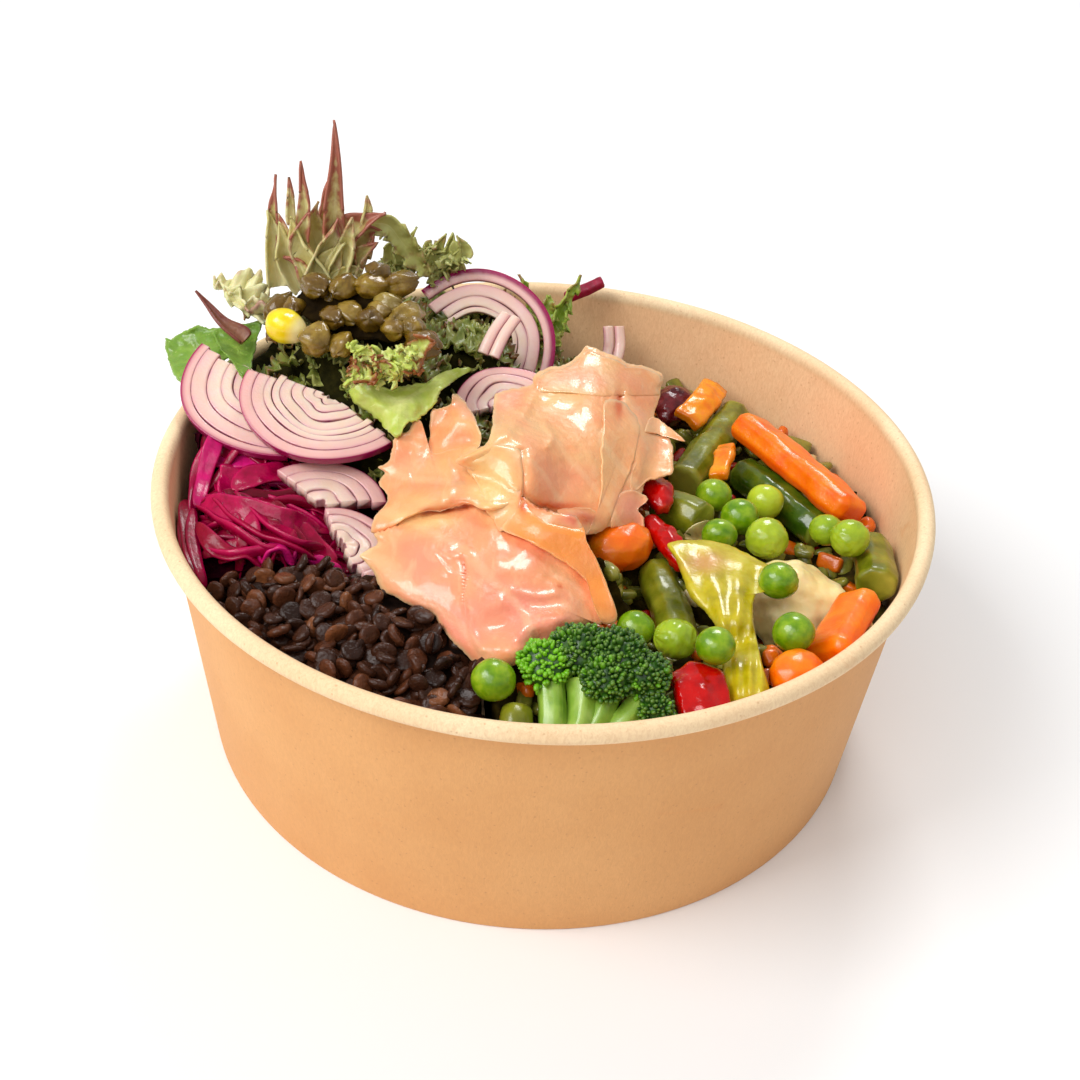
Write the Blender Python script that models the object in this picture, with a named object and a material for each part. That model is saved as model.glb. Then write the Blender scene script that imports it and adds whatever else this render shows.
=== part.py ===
"""A rolled-rim paper bowl of lentils, red cabbage, lettuce, cooked vegetables, onion, capers and salmon.

Run it with: blender --background --python part.py

The bowl stands on z = 0 and the side that faces the diner is -y. Lengths named below are in millimetres
from the middle of the bowl's foot, and are multiplied by MM where they reach Blender. Each topping is laid
where it is named, lifted just enough to clear what it lies on, and the four heaps that carry the toppings
are then fitted up against them. Last, the whole is moved so that the origin lies under its middle.
"""

import math
import random

import bmesh
import bpy
import numpy as np
from mathutils import Matrix, Vector, noise
from mathutils.bvhtree import BVHTree

MM = 0.001

# Bowl
RIM_R = 82.5
BOWL_H = 63.0
RIM_ROLL_R = 1.8
WALL_TOP_R = 79.4
BASE_R = 74.2
WALL = 0.6
SKIRT = 1.2
FLOOR_UNDER_Z = 6.0
FLOOR = 0.8
BOWL_STEPS = 48
ROLL_STEPS = 8

# Fit of the food
GAP = 0.45
WALL_GAP = 0.6
HEAP_BOTTOM_Z = FLOOR_UNDER_Z + FLOOR + 0.4
MAP_STEP = 1.0
MAP_MARGIN = 6
ABOVE_ALL = 200.0
DRAPE_SPREAD = 2.6
CARRY_SPREAD = 4.2
HUB = (-12.0, -22.0)
SWELL = 11.0
UP = Vector((0, 0, 1))
LIFT_STEP = 0.4
MOST_LIFT = 40.0
EASE_STEP = 0.35
EASE_ROUNDS = 60

# Sectors of the bowl, in degrees about the hub
LENTIL_SECTOR = (192.0, 276.0)
CABBAGE_SECTOR = (148.0, 192.0)
SALAD_SECTOR = (74.0, 148.0)
VEGETABLE_SECTOR = (-84.0, 74.0)

# The heaps' surface: a level, and mounds as (x, y, height, spread)
BED_LEVEL = 42.0
BED_MOUNDS = (
    (-50.0, 38.0, 30.0, 25.0),
    (-18.0, 57.0, 16.0, 14.0),
    (0.0, 4.0, 14.0, 26.0),
    (-36.0, -50.0, 12.0, 27.0),
    (-66.0, -12.0, 7.0, 18.0),
    (34.0, -50.0, 9.0, 26.0),
)

LENTIL_R = 2.4
LENTIL_THICKNESS = 2.5
LENTIL_SPACING = 6.0
LEAF_THICKNESS = 1.0
PEA_R = 4.2
ONION_STEPS = 10
BEAN_R = 4.2

COLOURS = {
    "brown_paper": ((0.66, 0.42, 0.22), 0.8),
    "black_lentil": ((0.055, 0.03, 0.022), 0.45),
    "red_cabbage": ((0.33, 0.008, 0.09), 0.3),
    "lettuce": ((0.23, 0.36, 0.06), 0.45),
    "lettuce_red": ((0.25, 0.16, 0.07), 0.5),
    "vegetable_mix": ((0.12, 0.13, 0.03), 0.5),
    "red_onion": ((0.72, 0.42, 0.46), 0.35),
    "salmon": ((0.86, 0.4, 0.22), 0.3),
    "caper": ((0.17, 0.14, 0.03), 0.3),
    "sweetcorn": ((0.86, 0.66, 0.04), 0.3),
    "pea": ((0.19, 0.42, 0.04), 0.3),
    "green_bean": ((0.16, 0.2, 0.03), 0.35),
    "carrot": ((0.86, 0.2, 0.012), 0.35),
    "orange_pepper": ((0.86, 0.32, 0.02), 0.3),
    "red_pepper": ((0.62, 0.012, 0.01), 0.25),
    "beetroot": ((0.1, 0.008, 0.025), 0.35),
    "broccoli": ((0.09, 0.24, 0.03), 0.5),
    "broccoli_stalk": ((0.46, 0.5, 0.08), 0.35),
    "cauliflower": ((0.72, 0.56, 0.3), 0.45),
}

placed = []


def clear_scene():
    for obj in list(bpy.data.objects):
        bpy.data.objects.remove(obj)


def material(name):
    """One Principled material for each kind of food and for the paper."""
    made = bpy.data.materials.get(name)
    if made:
        return made
    made = bpy.data.materials.new(name)
    made.use_nodes = True
    shader = made.node_tree.nodes["Principled BSDF"]
    colour, roughness = COLOURS[name]
    shader.inputs["Base Color"].default_value = (*colour, 1.0)
    shader.inputs["Roughness"].default_value = roughness
    shader.inputs["Metallic"].default_value = 0.0
    return made


def mesh_object(name, points, faces, slot):
    """An object whose mesh has these points, in millimetres, and these faces, turned to face out."""
    mesh = bpy.data.meshes.new(name)
    mesh.from_pydata([tuple(float(c) * MM for c in p) for p in points], [], [tuple(f) for f in faces])
    obj = bpy.data.objects.new(name, mesh)
    bpy.context.scene.collection.objects.link(obj)
    mesh.materials.append(material(slot))
    face_out(mesh)
    return obj


def face_out(mesh):
    shape = bmesh.new()
    shape.from_mesh(mesh)
    bmesh.ops.recalc_face_normals(shape, faces=shape.faces)
    shape.to_mesh(mesh)
    shape.free()


def smooth(obj, degrees=35.0):
    obj.data.shade_smooth()
    obj.data.set_sharp_from_angle(angle=math.radians(degrees))


def solid_of(obj):
    """(points in millimetres, triangles) of the object in world space, with its modifiers."""
    bpy.context.view_layer.update()
    shown = obj.evaluated_get(bpy.context.evaluated_depsgraph_get())
    mesh = shown.to_mesh()
    mesh.calc_loop_triangles()
    points = [shown.matrix_world @ v.co / MM for v in mesh.vertices]
    triangles = [tuple(t.vertices) for t in mesh.loop_triangles]
    shown.to_mesh_clear()
    return points, triangles


def remember(obj):
    """Adds a finished topping to what later ones have to clear."""
    points, triangles = solid_of(obj)
    array = np.array(points)
    placed.append({
        "tree": BVHTree.FromPolygons(points, triangles),
        "lowered": BVHTree.FromPolygons([p - GAP * UP for p in points], triangles),
        "raised": BVHTree.FromPolygons([p + GAP * UP for p in points], triangles),
        "samples": sample_points(points, triangles),
        "low": array.min(0),
        "high": array.max(0),
    })
    return obj


def sample_points(points, triangles):
    """The corners, the middles of the sides and the middles of the faces."""
    found = list(points)
    for a, b, c in triangles:
        found += [(points[a] + points[b]) / 2, (points[b] + points[c]) / 2, (points[a] + points[c]) / 2]
        found.append((points[a] + points[b] + points[c]) / 3)
    return found


def near_misses(samples, tree, low, high):
    """True if any sample in the box lies within the gap of the tree's solid."""
    return any(
        tree.find_nearest(point)[3] < GAP
        for point in samples
        if all(low[k] - GAP < point[k] < high[k] + GAP for k in range(3))
    )


def is_inside(point, tree):
    """True if a ray straight up from the point leaves the tree's solid once more than it enters it."""
    crossings = 0
    hit = tree.ray_cast(point, UP)[0]
    while hit is not None:
        crossings += 1
        hit = tree.ray_cast(hit + 0.001 * UP, UP)[0]
    return crossings % 2 == 1


def is_clear(points, triangles):
    """True if a solid with these points keeps the gap to every solid laid before it."""
    array = np.array(points)
    low, high = array.min(0), array.max(0)
    near = [
        other for other in placed
        if all(low[k] - GAP < other["high"][k] and other["low"][k] < high[k] + GAP for k in range(3))
    ]
    if not near:
        return True
    tree = BVHTree.FromPolygons(points, triangles)
    if any(tree.overlap(other["tree"]) for other in near):
        return False
    samples = sample_points(points, triangles)
    return not any(
        is_inside(points[0], other["tree"])
        or is_inside(other["samples"][0], tree)
        or near_misses(samples, other["tree"], other["low"], other["high"])
        or near_misses(other["samples"], tree, low, high)
        for other in near
    )


def settle(obj):
    """Lifts the object in small steps until it clears all that was laid before it, and remembers it."""
    points, triangles = solid_of(obj)
    lift = 0.0
    while lift < MOST_LIFT and not is_clear([p + lift * UP for p in points], triangles):
        lift += LIFT_STEP
    obj.location.z += lift * MM
    return remember(obj)


def wall_r(z):
    """The wall's outer radius at a height."""
    return BASE_R + (WALL_TOP_R - BASE_R) * z / (BOWL_H - 2 * RIM_ROLL_R)


def food_r(z):
    """How far out food may reach at a height."""
    return wall_r(z) - WALL - WALL_GAP


def inside_wall(x, y, z):
    """The point, drawn in towards the axis where it would touch the wall at its height."""
    inward = min(1.0, food_r(min(z, BOWL_H)) / max(math.hypot(x, y), 1.0))
    return x * inward, y * inward, z


def bed_z(x, y):
    """The heaps' own surface, before toppings press into it."""
    return BED_LEVEL + sum(
        height * math.exp(-((x - cx) ** 2 + (y - cy) ** 2) / (2 * spread**2))
        for cx, cy, height, spread in BED_MOUNDS
    )


def highest_under(x, y):
    """The top of what is laid so far at this spot, or None."""
    tops = []
    for other in placed:
        if other["low"][0] <= x <= other["high"][0] and other["low"][1] <= y <= other["high"][1]:
            hit = other["tree"].ray_cast(Vector((x, y, ABOVE_ALL)), -UP)[0]
            if hit is not None:
                tops.append(hit.z)
    return max(tops, default=None)


def lowest_over(x, y):
    """The underside of what is laid so far at this spot, or None."""
    undersides = []
    for other in placed:
        if other["low"][0] <= x <= other["high"][0] and other["low"][1] <= y <= other["high"][1]:
            hit = other["tree"].ray_cast(Vector((x, y, 0.0)), UP)[0]
            if hit is not None:
                undersides.append(hit.z)
    return min(undersides, default=None)


def height_map(height_at, spread, pick, missing):
    """A map of heights over the bowl, each cell the lowest or highest of those within a spread of it."""
    side = int(math.ceil(2 * RIM_R / MAP_STEP)) + 2 * MAP_MARGIN
    start = -side * MAP_STEP / 2
    raw = np.full((side, side), missing)
    for i in range(side):
        for j in range(side):
            x, y = start + i * MAP_STEP, start + j * MAP_STEP
            found = height_at(x, y)
            if found is not None:
                raw[i, j] = found
    cells = int(math.ceil(spread / MAP_STEP))
    spread_map = raw.copy()
    for di in range(-cells, cells + 1):
        for dj in range(-cells, cells + 1):
            if math.hypot(di, dj) <= cells:
                spread_map = pick(spread_map, np.roll(raw, (di, dj), (0, 1)))

    def look_up(x, y):
        i = min(max(int(round((x - start) / MAP_STEP)), 0), side - 1)
        j = min(max(int(round((y - start) / MAP_STEP)), 0), side - 1)
        return spread_map[i, j]

    return look_up


def through(p0, p1, p2, p3, t):
    """The point at t between p1 and p2 of the smooth curve through all four."""
    square = (2 * p0 - 5 * p1 + 4 * p2 - p3) * t**2
    cube = (3 * p1 - p0 - 3 * p2 + p3) * t**3
    return 0.5 * (2 * p1 + (p2 - p0) * t + square + cube)


def along(points, share):
    """The point at a share of the way along a smooth curve through the given points."""
    spans = len(points) - 1
    at = min(share * spans, spans - 1e-9)
    k = int(at)
    t = at - k
    p0, p1, p2, p3 = (Vector(points[min(max(k + o, 0), spans)]) for o in (-1, 0, 1, 2))
    return through(p0, p1, p2, p3, t)


def frames_along(points, stations, up=UP):
    """(point, sideways, upwards) at evenly spaced stations of the curve."""
    made = []
    for i in range(stations):
        share = i / (stations - 1)
        here = along(points, share)
        ahead = along(points, min(share + 0.02, 1.0)) - along(points, max(share - 0.02, 0.0))
        ahead.normalize()
        side = ahead.cross(up).normalized()
        made.append((here, side, side.cross(ahead).normalized()))
    return made


def swept(name, frames, section, slot):
    """A closed sweep: section(station share) gives the outline as (sideways, upwards) pairs at each frame."""
    points, faces = [], []
    last = len(frames) - 1
    for i, (here, side, above) in enumerate(frames):
        outline = section(i / last)
        points += [here + side * a + above * b for a, b in outline]
    n = len(points) // len(frames)
    for i in range(last):
        for k in range(n):
            faces.append((i * n + k, i * n + (k + 1) % n, (i + 1) * n + (k + 1) % n, (i + 1) * n + k))
    faces.append(tuple(range(n)))
    faces.append(tuple(last * n + k for k in range(n)))
    return mesh_object(name, points, faces, slot)


def rod(name, points, radius, slot, sides=8, stations=6, flat=1.0, swell=0.0):
    """A round or oval rod with cut ends, thicker in the middle by swell."""

    def section(share):
        r = radius * (1 + swell * math.sin(math.pi * share))
        angles = (math.tau * (k + 0.5) / sides for k in range(sides))
        return [(r * math.cos(a), r * flat * math.sin(a)) for a in angles]

    return swept(name, frames_along(points, stations), section, slot)


def strip(name, points, width, thickness, slot, stations=6, roll=0.0, taper=0.0, cup=0.0):
    """A flat strip with a cupped, six-sided section, its ends narrowed by taper."""
    turned_right, turned_up = math.cos(math.radians(roll)), math.sin(math.radians(roll))

    def section(share):
        w = width / 2 * (1 - taper * (2 * share - 1) ** 2)
        t = thickness / 2
        flat = [(-w, -t), (0, -t + cup), (w, -t), (w, t), (0, t + cup), (-w, t)]
        return [(a * turned_right - b * turned_up, a * turned_up + b * turned_right) for a, b in flat]

    return swept(name, frames_along(points, stations), section, slot)


def blob(name, centre, radii, slot, turn=0.0, tilt=0.0, bumps=0.0, bump_size=8.0, detail=2):
    """A lump: a subdivided ball, stretched, knobbled, turned about z and tilted about x."""
    shape = bmesh.new()
    bmesh.ops.create_icosphere(shape, subdivisions=detail, radius=1.0)
    mesh = bpy.data.meshes.new(name)
    shape.to_mesh(mesh)
    shape.free()
    place = Matrix.Rotation(math.radians(turn), 3, "Z") @ Matrix.Rotation(math.radians(tilt), 3, "X")
    for v in mesh.vertices:
        stretched = Vector(a * b for a, b in zip(v.co, radii))
        knob = 1 + bumps * noise.noise((stretched + Vector(centre)) / bump_size)
        v.co = place @ (stretched * knob) * MM
    obj = bpy.data.objects.new(name, mesh)
    obj.location = Vector(centre) * MM
    bpy.context.scene.collection.objects.link(obj)
    mesh.materials.append(material(slot))
    return obj


def block(name, start, end, width, thickness, slot, roll=0.0, bevel=1.2, taper=0.0):
    """A cut baton from start to end with bevelled edges, narrower at its end by taper."""
    shape = bmesh.new()
    bmesh.ops.create_cube(shape, size=1.0)
    length = (Vector(end) - Vector(start)).length
    for v in shape.verts:
        narrow = 1 - taper * (v.co.x + 0.5)
        v.co = Vector((v.co.x * length, v.co.y * width * narrow, v.co.z * thickness))
    bmesh.ops.bevel(shape, geom=shape.edges[:], offset=bevel, segments=1, affect="EDGES")
    mesh = bpy.data.meshes.new(name)
    shape.to_mesh(mesh)
    shape.free()
    ahead = (Vector(end) - Vector(start)).normalized()
    side = UP.cross(ahead).normalized()
    turn = Matrix((ahead, side, ahead.cross(side))).transposed()
    mesh.transform((turn @ Matrix.Rotation(math.radians(roll), 3, "X") * MM).to_4x4())
    obj = bpy.data.objects.new(name, mesh)
    obj.location = (Vector(start) + Vector(end)) / 2 * MM
    bpy.context.scene.collection.objects.link(obj)
    mesh.materials.append(material(slot))
    return obj


def bowl():
    """The rolled-rim paper bowl: one turned profile, run down its outer side and under its raised floor."""
    roll_r = RIM_R - RIM_ROLL_R
    roll_z = BOWL_H - RIM_ROLL_R
    floor_z = FLOOR_UNDER_Z + FLOOR
    profile = [(0.0, floor_z), (wall_r(floor_z) - WALL, floor_z), (wall_r(roll_z - 1.5) - WALL, roll_z - 1.5)]
    for k in range(ROLL_STEPS + 1):
        angle = math.radians(180.0 - 285.0 * k / ROLL_STEPS)
        profile.append((roll_r + RIM_ROLL_R * math.cos(angle), roll_z + RIM_ROLL_R * math.sin(angle)))
    profile += [(wall_r(roll_z - 2.2), roll_z - 2.2), (BASE_R, 0.0), (BASE_R - SKIRT, 0.0)]
    profile += [(BASE_R - SKIRT, FLOOR_UNDER_Z), (0.0, FLOOR_UNDER_Z)]
    mesh = bpy.data.meshes.new("bowl")
    edges = [(k, k + 1) for k in range(len(profile) - 1)]
    mesh.from_pydata([(r * MM, 0.0, z * MM) for r, z in profile], edges, [])
    obj = bpy.data.objects.new("bowl", mesh)
    bpy.context.scene.collection.objects.link(obj)
    mesh.materials.append(material("brown_paper"))
    turn = obj.modifiers.new("turn", "SCREW")
    turn.axis = "Z"
    turn.steps = turn.render_steps = BOWL_STEPS
    turn.use_merge_vertices = True
    turn.merge_threshold = 0.00005
    turn.use_smooth_shade = False
    return obj


def bean(name, points, radius=BEAN_R, swell=0.05):
    return rod(name, points, radius, "green_bean", swell=swell)


def pepper(name, points, width, thickness, slot="red_pepper", **form):
    return strip(name, points, width, thickness, slot, **form)


def vegetables():
    """The cooked vegetables on the right, each laid between two ends or about a middle."""
    settle(blob("cauliflower", (53.5, -22, 45), (10.5, 11.5, 8.5), "cauliflower", 20, 0, 0.25, 9, 2))
    settle(bean("bean_back", [(32, 18, 46.5), (39, 34, 46), (46.5, 52, 44.5)]))
    settle(bean("bean_middle", [(47, 29, 43), (54.5, 18, 43.5), (63, 7, 43)], swell=0.08))
    settle(bean("bean_right", [(72.2, -2, 46.5), (72, -10, 47.5), (70.5, -19, 49)]))
    settle(bean("bean_low", [(24.6, -15, 46), (27, -27, 46.5), (29, -39, 47.5)], 3.9))
    settle(bean("bean_end", [(26, 6, 47.5), (31.5, 2, 49.5), (35, -1, 50)]))
    settle(bean("bean_front", [(-2.6, -65.5, 52), (-2.6, -69, 51), (-2.6, -73.5, 48)], 2.8))
    settle(block("carrot_long", (48, 39, 49.5), (69, 7, 48.5), 10.5, 5.5, "carrot", roll=-32, taper=0.12))
    settle(block("carrot_right", (56, -47.5, 54), (65, -29, 53), 8.6, 4.5, "carrot", roll=-38, taper=0.15))
    settle(blob("carrot_chunk", (16, -14, 49.5), (7.2, 6.0, 5.0), "carrot", 25, 0, 0.1, 9))
    settle(blob("carrot_end", (49.5, -54.5, 53.5), (5.0, 4.2, 3.6), "carrot", 20, 15, 0.12, 7))
    settle(blob("kidney_bean", (31, 54, 45.5), (5.0, 7.4, 4.4), "beetroot", -12, 0, 0.3, 5))
    settle(pepper("pepper_orange", [(33, 40, 49), (38, 48, 50), (41, 58, 48)], 6.6, 2.2, "orange_pepper",
                  roll=-20, cup=0.8))
    settle(pepper("pepper_amber", [(39, 14, 51.5), (40.5, 20, 52.5), (41.8, 27.5, 51)], 4.0, 1.8,
                  "orange_pepper", roll=20))
    settle(pepper("pepper_red_top", [(22, 10, 52), (24.5, 3, 53.5), (26, -3, 52)], 6.5, 2.2,
                  taper=0.7, cup=0.8))
    settle(pepper("pepper_red_side", [(23, -5, 51), (27, -12, 51.5), (30, -19, 49.5)], 4.6, 2.2,
                  taper=0.5, cup=0.6))
    settle(pepper("pepper_red_front", [(29.5, -56, 54.5), (31, -61, 55.5), (32, -67.5, 53.5)], 9.0, 2.4,
                  cup=1.2))
    settle(stalk_fan())
    settle(rod("stalk_lower", [(40.2, -53, 56), (40.4, -57.5, 56), (40.5, -63, 54)], 3.9, "broccoli_stalk",
               flat=0.75, swell=-0.1))
    settle(broccoli())


def stalk_fan():
    """The pale broccoli stalk split into a flat fan at its top, thick in the middle and thin at its edges."""
    path = [(31.5, -20, 56.5), (35, -29, 56.5), (38, -37, 56), (39, -44.5, 55.5)]
    widths = (21.0, 19.0, 10.0, 8.5)

    def section(share):
        at = share * (len(widths) - 1)
        k = min(int(at), len(widths) - 2)
        half = (widths[k] + (widths[k + 1] - widths[k]) * (at - k)) / 2
        thick = 1.3 + 2.0 * share
        return [(-half, -0.8), (-half * 0.4, -thick), (half * 0.4, -thick), (half, -0.8),
                (half, 0.8), (half * 0.4, thick), (0, thick * 0.75), (-half * 0.4, thick), (-half, 0.8)]

    return swept("stalk_fan", frames_along(path, 8), section, "broccoli_stalk")


def broccoli():
    """One floret: three stems that meet in the front, each under its own knobbly heads."""
    root = (8, -72.5, 48)
    heads = (
        ((2.3, -59, 57.5), 5.0), ((8.5, -56.5, 58.5), 5.6), ((15.3, -57.5, 59), 5.6),
        ((20.4, -60.5, 57.5), 4.7), ((13.5, -62.5, 58), 4.8), ((22.6, -66, 54.5), 3.3),
    )
    core = rod("stem", [root, (10, -67, 52), (12, -60, 55)], 4.0, "broccoli", sides=7, stations=4)
    pieces = [
        rod(f"stem_{k}", path, 3.0, "broccoli", sides=7, stations=4)
        for k, path in enumerate((
            [(4.2, -72.5, 49), (4, -67, 53), (3.2, -61, 56)],
            [(13, -71.5, 48), (18, -66, 53), (22, -61, 55)],
        ))
    ]
    for k, (centre, radius) in enumerate(heads):
        radii = (radius, radius, radius * 0.85)
        pieces.append(blob(f"head_{k}", centre, radii, "broccoli", turn=40 * k, bumps=0.45, bump_size=2.6))
    return fuse("broccoli", core, pieces)


def fuse(name, core, pieces):
    """One solid out of the core and its pieces, with sealed hollows filled and loose scraps dropped."""
    group = bpy.data.collections.new(name)
    bpy.context.scene.collection.children.link(group)
    for piece in pieces:
        bpy.context.scene.collection.objects.unlink(piece)
        group.objects.link(piece)
    join = core.modifiers.new("join", "BOOLEAN")
    join.operation = "UNION"
    join.operand_type = "COLLECTION"
    join.collection = group
    join.solver = "MANIFOLD"
    bpy.context.view_layer.update()
    shown = core.evaluated_get(bpy.context.evaluated_depsgraph_get())
    mesh = bpy.data.meshes.new_from_object(shown)
    core.modifiers.remove(join)
    core.data = mesh
    core.name = mesh.name = name
    keep_largest_shell(mesh)
    for piece in pieces:
        bpy.data.objects.remove(piece)
    bpy.data.collections.remove(group)
    return core


def keep_largest_shell(mesh):
    """Drops every closed shell but the largest: sealed hollows and loose scraps alike."""
    shape = bmesh.new()
    shape.from_mesh(mesh)
    bmesh.ops.triangulate(shape, faces=shape.faces[:])
    left = set(shape.faces)
    shells = []
    while left:
        grown = [left.pop()]
        for face in grown:
            for edge in face.edges:
                for other in edge.link_faces:
                    if other in left:
                        left.remove(other)
                        grown.append(other)
        shells.append(grown)
    shells.sort(key=len)
    bmesh.ops.delete(shape, geom=[f for shell in shells[:-1] for f in shell], context="FACES")
    shape.to_mesh(mesh)
    shape.free()


# Peas by the places that they lie in; each is lifted clear of what is under it
PEAS = (
    (38, 9, 50), (43, 0, 51), (38, -8.5, 52), (50, 10.5, 46), (47.5, -31.5, 56), (19.5, -42, 53),
    (27, -46, 54.5), (33.4, -54.5, 59.5), (49, -46.5, 56), (-7, -63.5, 57), (62, -1.5, 50), (65.5, -9, 52.5),
)
BIG_PEA = (48, -8.5, 52)


def peas():
    for k, centre in enumerate(PEAS):
        size = PEA_R * (1 + 0.07 * math.sin(2.4 * k))
        settle(ball(f"pea_{k + 1}", centre, size, "pea"))
    settle(ball(f"pea_{len(PEAS) + 1}", BIG_PEA, PEA_R * 1.17, "pea"))


def ball(name, centre, radius, slot, segments=8, rings=5):
    shape = bmesh.new()
    bmesh.ops.create_uvsphere(shape, u_segments=segments, v_segments=rings, radius=radius * MM)
    mesh = bpy.data.meshes.new(name)
    shape.to_mesh(mesh)
    shape.free()
    obj = bpy.data.objects.new(name, mesh)
    obj.location = Vector(centre) * MM
    bpy.context.scene.collection.objects.link(obj)
    mesh.materials.append(material(slot))
    return obj


def onion_fan(name, centre, radius, rings, ring_width, start, sweep, turn, thickness=2.6, oval=0.85):
    """Part of an onion slice: nested ring layers, each a shallow step, swept round a centre, then turned."""
    steps = ONION_STEPS
    lip = 0.3
    edge = []
    for k in range(rings):
        outer = radius - k * ring_width
        edge += [(outer - 0.05, thickness - lip), (outer - ring_width + 0.05, thickness)]
    inner = radius - rings * ring_width
    profile = [(radius, 0.0), *edge, (inner, 0.0)]
    points, faces = [], []
    for i in range(steps + 1):
        angle = math.radians(start + sweep * i / steps)
        points += [(r * math.cos(angle), r * oval * math.sin(angle), h) for r, h in profile]
    n = len(profile)
    for i in range(steps):
        for k in range(n):
            faces.append((i * n + k, i * n + (k + 1) % n, (i + 1) * n + (k + 1) % n, (i + 1) * n + k))
    faces.append(tuple(range(n)))
    faces.append(tuple(steps * n + k for k in range(n)))
    obj = mesh_object(name, points, faces, "red_onion")
    rotation = Matrix.Rotation(math.radians(turn[2]), 4, "Z") @ Matrix.Rotation(math.radians(turn[0]), 4, "X")
    obj.data.transform(rotation @ Matrix.Rotation(math.radians(turn[1]), 4, "Y"))
    obj.location = Vector(centre) * MM
    return obj


def onions():
    """The sliced red onion: fans that overlap on the left, an arch on the lettuce and a fan behind."""
    settle(onion_fan("onion_left", (-58.6, 14.5, 66.7), 22, 5, 2.7, 150, 135, (24, 0, 0), 2.2))
    settle(onion_fan("onion_middle", (-47.5, 9.5, 67.7), 19.3, 7, 2.5, 154, 172, (24, 0, 0), 2.2))
    settle(onion_fan("onion_low_end", (-41.5, -21.5, 50.5), 11, 4, 2.5, -61, 178, (12, 10, 0), 3.8))
    settle(onion_fan("onion_low", (-46.5, -12.5, 54.5), 14, 4, 3.2, 12, 128, (14, 4, 0), 3.0))
    settle(onion_fan("onion_back", (-9.5, 19, 63), 11.5, 4, 2.4, 10, 200, (22, 0, 0)))
    settle(onion_fan("onion_arch", (-18.5, 44, 64), 19.3, 4, 2.6, -25, 165, (52, 0, 0), 2.4, 1.0))
    settle(strip("onion_cross", [(-10, 37, 77), (-12.5, 33, 74.5), (-14.5, 29, 71)], 5.5, 1.8, "red_onion",
                 stations=4, roll=10))
    settle(strip("onion_strip", [(14.7, 63, 50), (15.5, 66, 54), (15, 69, 58)], 5.5, 1.8, "red_onion",
                 stations=4))


# Salmon slices: the middle, and an outline of points at the slice's upper edge
SALMON = {
    "salmon_lower": (
        (-11, -42, 62.5),
        ((-35, -33, 59), (-30, -27, 61.5), (-24, -22, 63), (-15, -20, 64), (-7, -25, 64), (0, -31, 63.5),
         (5, -31, 61), (9, -36, 58), (12, -43, 55), (9, -47, 54.5), (-1, -55, 54.5), (-7, -58, 55),
         (-13, -55, 56.5), (-19, -46, 58), (-26, -43, 58), (-33, -37, 58)),
    ),
    "salmon_left": (
        (-19, -12, 66.5),
        ((-34, -25, 60.5), (-31, -16, 62.5), (-35, -6, 62), (-33, -1, 64), (-29, 7, 66), (-26, 1, 65),
         (-24, 11, 67.5), (-20, 14, 69), (-16, 4, 68.5), (-10, -4, 69), (-5, -11, 69), (-4, -18, 68.5),
         (-4, -24, 66.5), (-8, -29, 65.5), (-14, -23, 65.5), (-20, -23, 64), (-28, -26, 62)),
    ),
    "salmon_upper": (
        (7, 6, 69.5),
        ((-19, -13, 69), (-13, -7, 71), (-10, 2, 71), (-10, 14, 70), (-5, 25, 69), (3, 30, 69.5),
         (9, 35, 71), (17, 34, 68), (25, 36, 64.5), (25, 27, 61.5), (30, 21, 57), (28, 10, 55.5),
         (22, -2, 55), (21, -9, 53), (10, -18, 57.5), (2, -18, 62.5), (-4, -20, 67), (-6, -13, 69.5)),
    ),
}
SALMON_THICKNESS = 3.2


def closed_curve(points, count):
    """Evenly shared points of a smooth closed curve through the given ones."""
    loop = [Vector(p) for p in points]
    n = len(loop)
    made = []
    for i in range(count):
        at = i * n / count
        k = int(at)
        t = at - k
        p0, p1, p2, p3 = (loop[(k + o) % n] for o in (-1, 0, 1, 2))
        made.append(through(p0, p1, p2, p3, t))
    return made


def salmon_slice(name, spokes=24, rings=3):
    """A thin folded slice draped over what lies under it, thinner and ragged at its edge."""
    middle, outline = SALMON[name]
    under = height_map(highest_under, DRAPE_SPREAD, np.maximum, -1.0)
    rim = closed_curve(outline, spokes)
    top, bottom = [], []
    for ring in range(rings + 1):
        share = ring / rings
        for spoke in range(spokes):
            edge = rim[spoke]
            x = middle[0] + (edge.x - middle[0]) * share
            y = middle[1] + (edge.y - middle[1]) * share
            z = middle[2] + (edge.z - middle[2]) * share**1.6
            z += 1.6 * noise.noise(Vector((x, y, middle[2])) / 9.0) * (1 - 0.5 * share)
            thick = SALMON_THICKNESS * (1 - 0.6 * share**3)
            low = max(z - thick, under(x, y) + GAP)
            top.append((x, y, low + thick))
            bottom.append((x, y, low))
    points = [top[0], *top[spokes:], bottom[0], *bottom[spokes:]]
    half = len(points) // 2
    faces = []
    for base, turned in ((0, False), (half, True)):
        for spoke in range(spokes):
            after = (spoke + 1) % spokes
            found = [(base, base + 1 + spoke, base + 1 + after)]
            for ring in range(rings - 1):
                a = base + 1 + ring * spokes
                found.append((a + spoke, a + spokes + spoke, a + spokes + after))
                found.append((a + spoke, a + spokes + after, a + after))
            faces += [f[::-1] if turned else f for f in found]
    edge_top = 1 + (rings - 1) * spokes
    for spoke in range(spokes):
        here, after = edge_top + spoke, edge_top + (spoke + 1) % spokes
        faces += [(after, here, half + here), (after, half + here, half + after)]
    ease(points, faces, "raised", EASE_STEP, lambda k: (k % half, k % half + half))
    return remember(mesh_object(name, points, faces, "salmon"))


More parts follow.
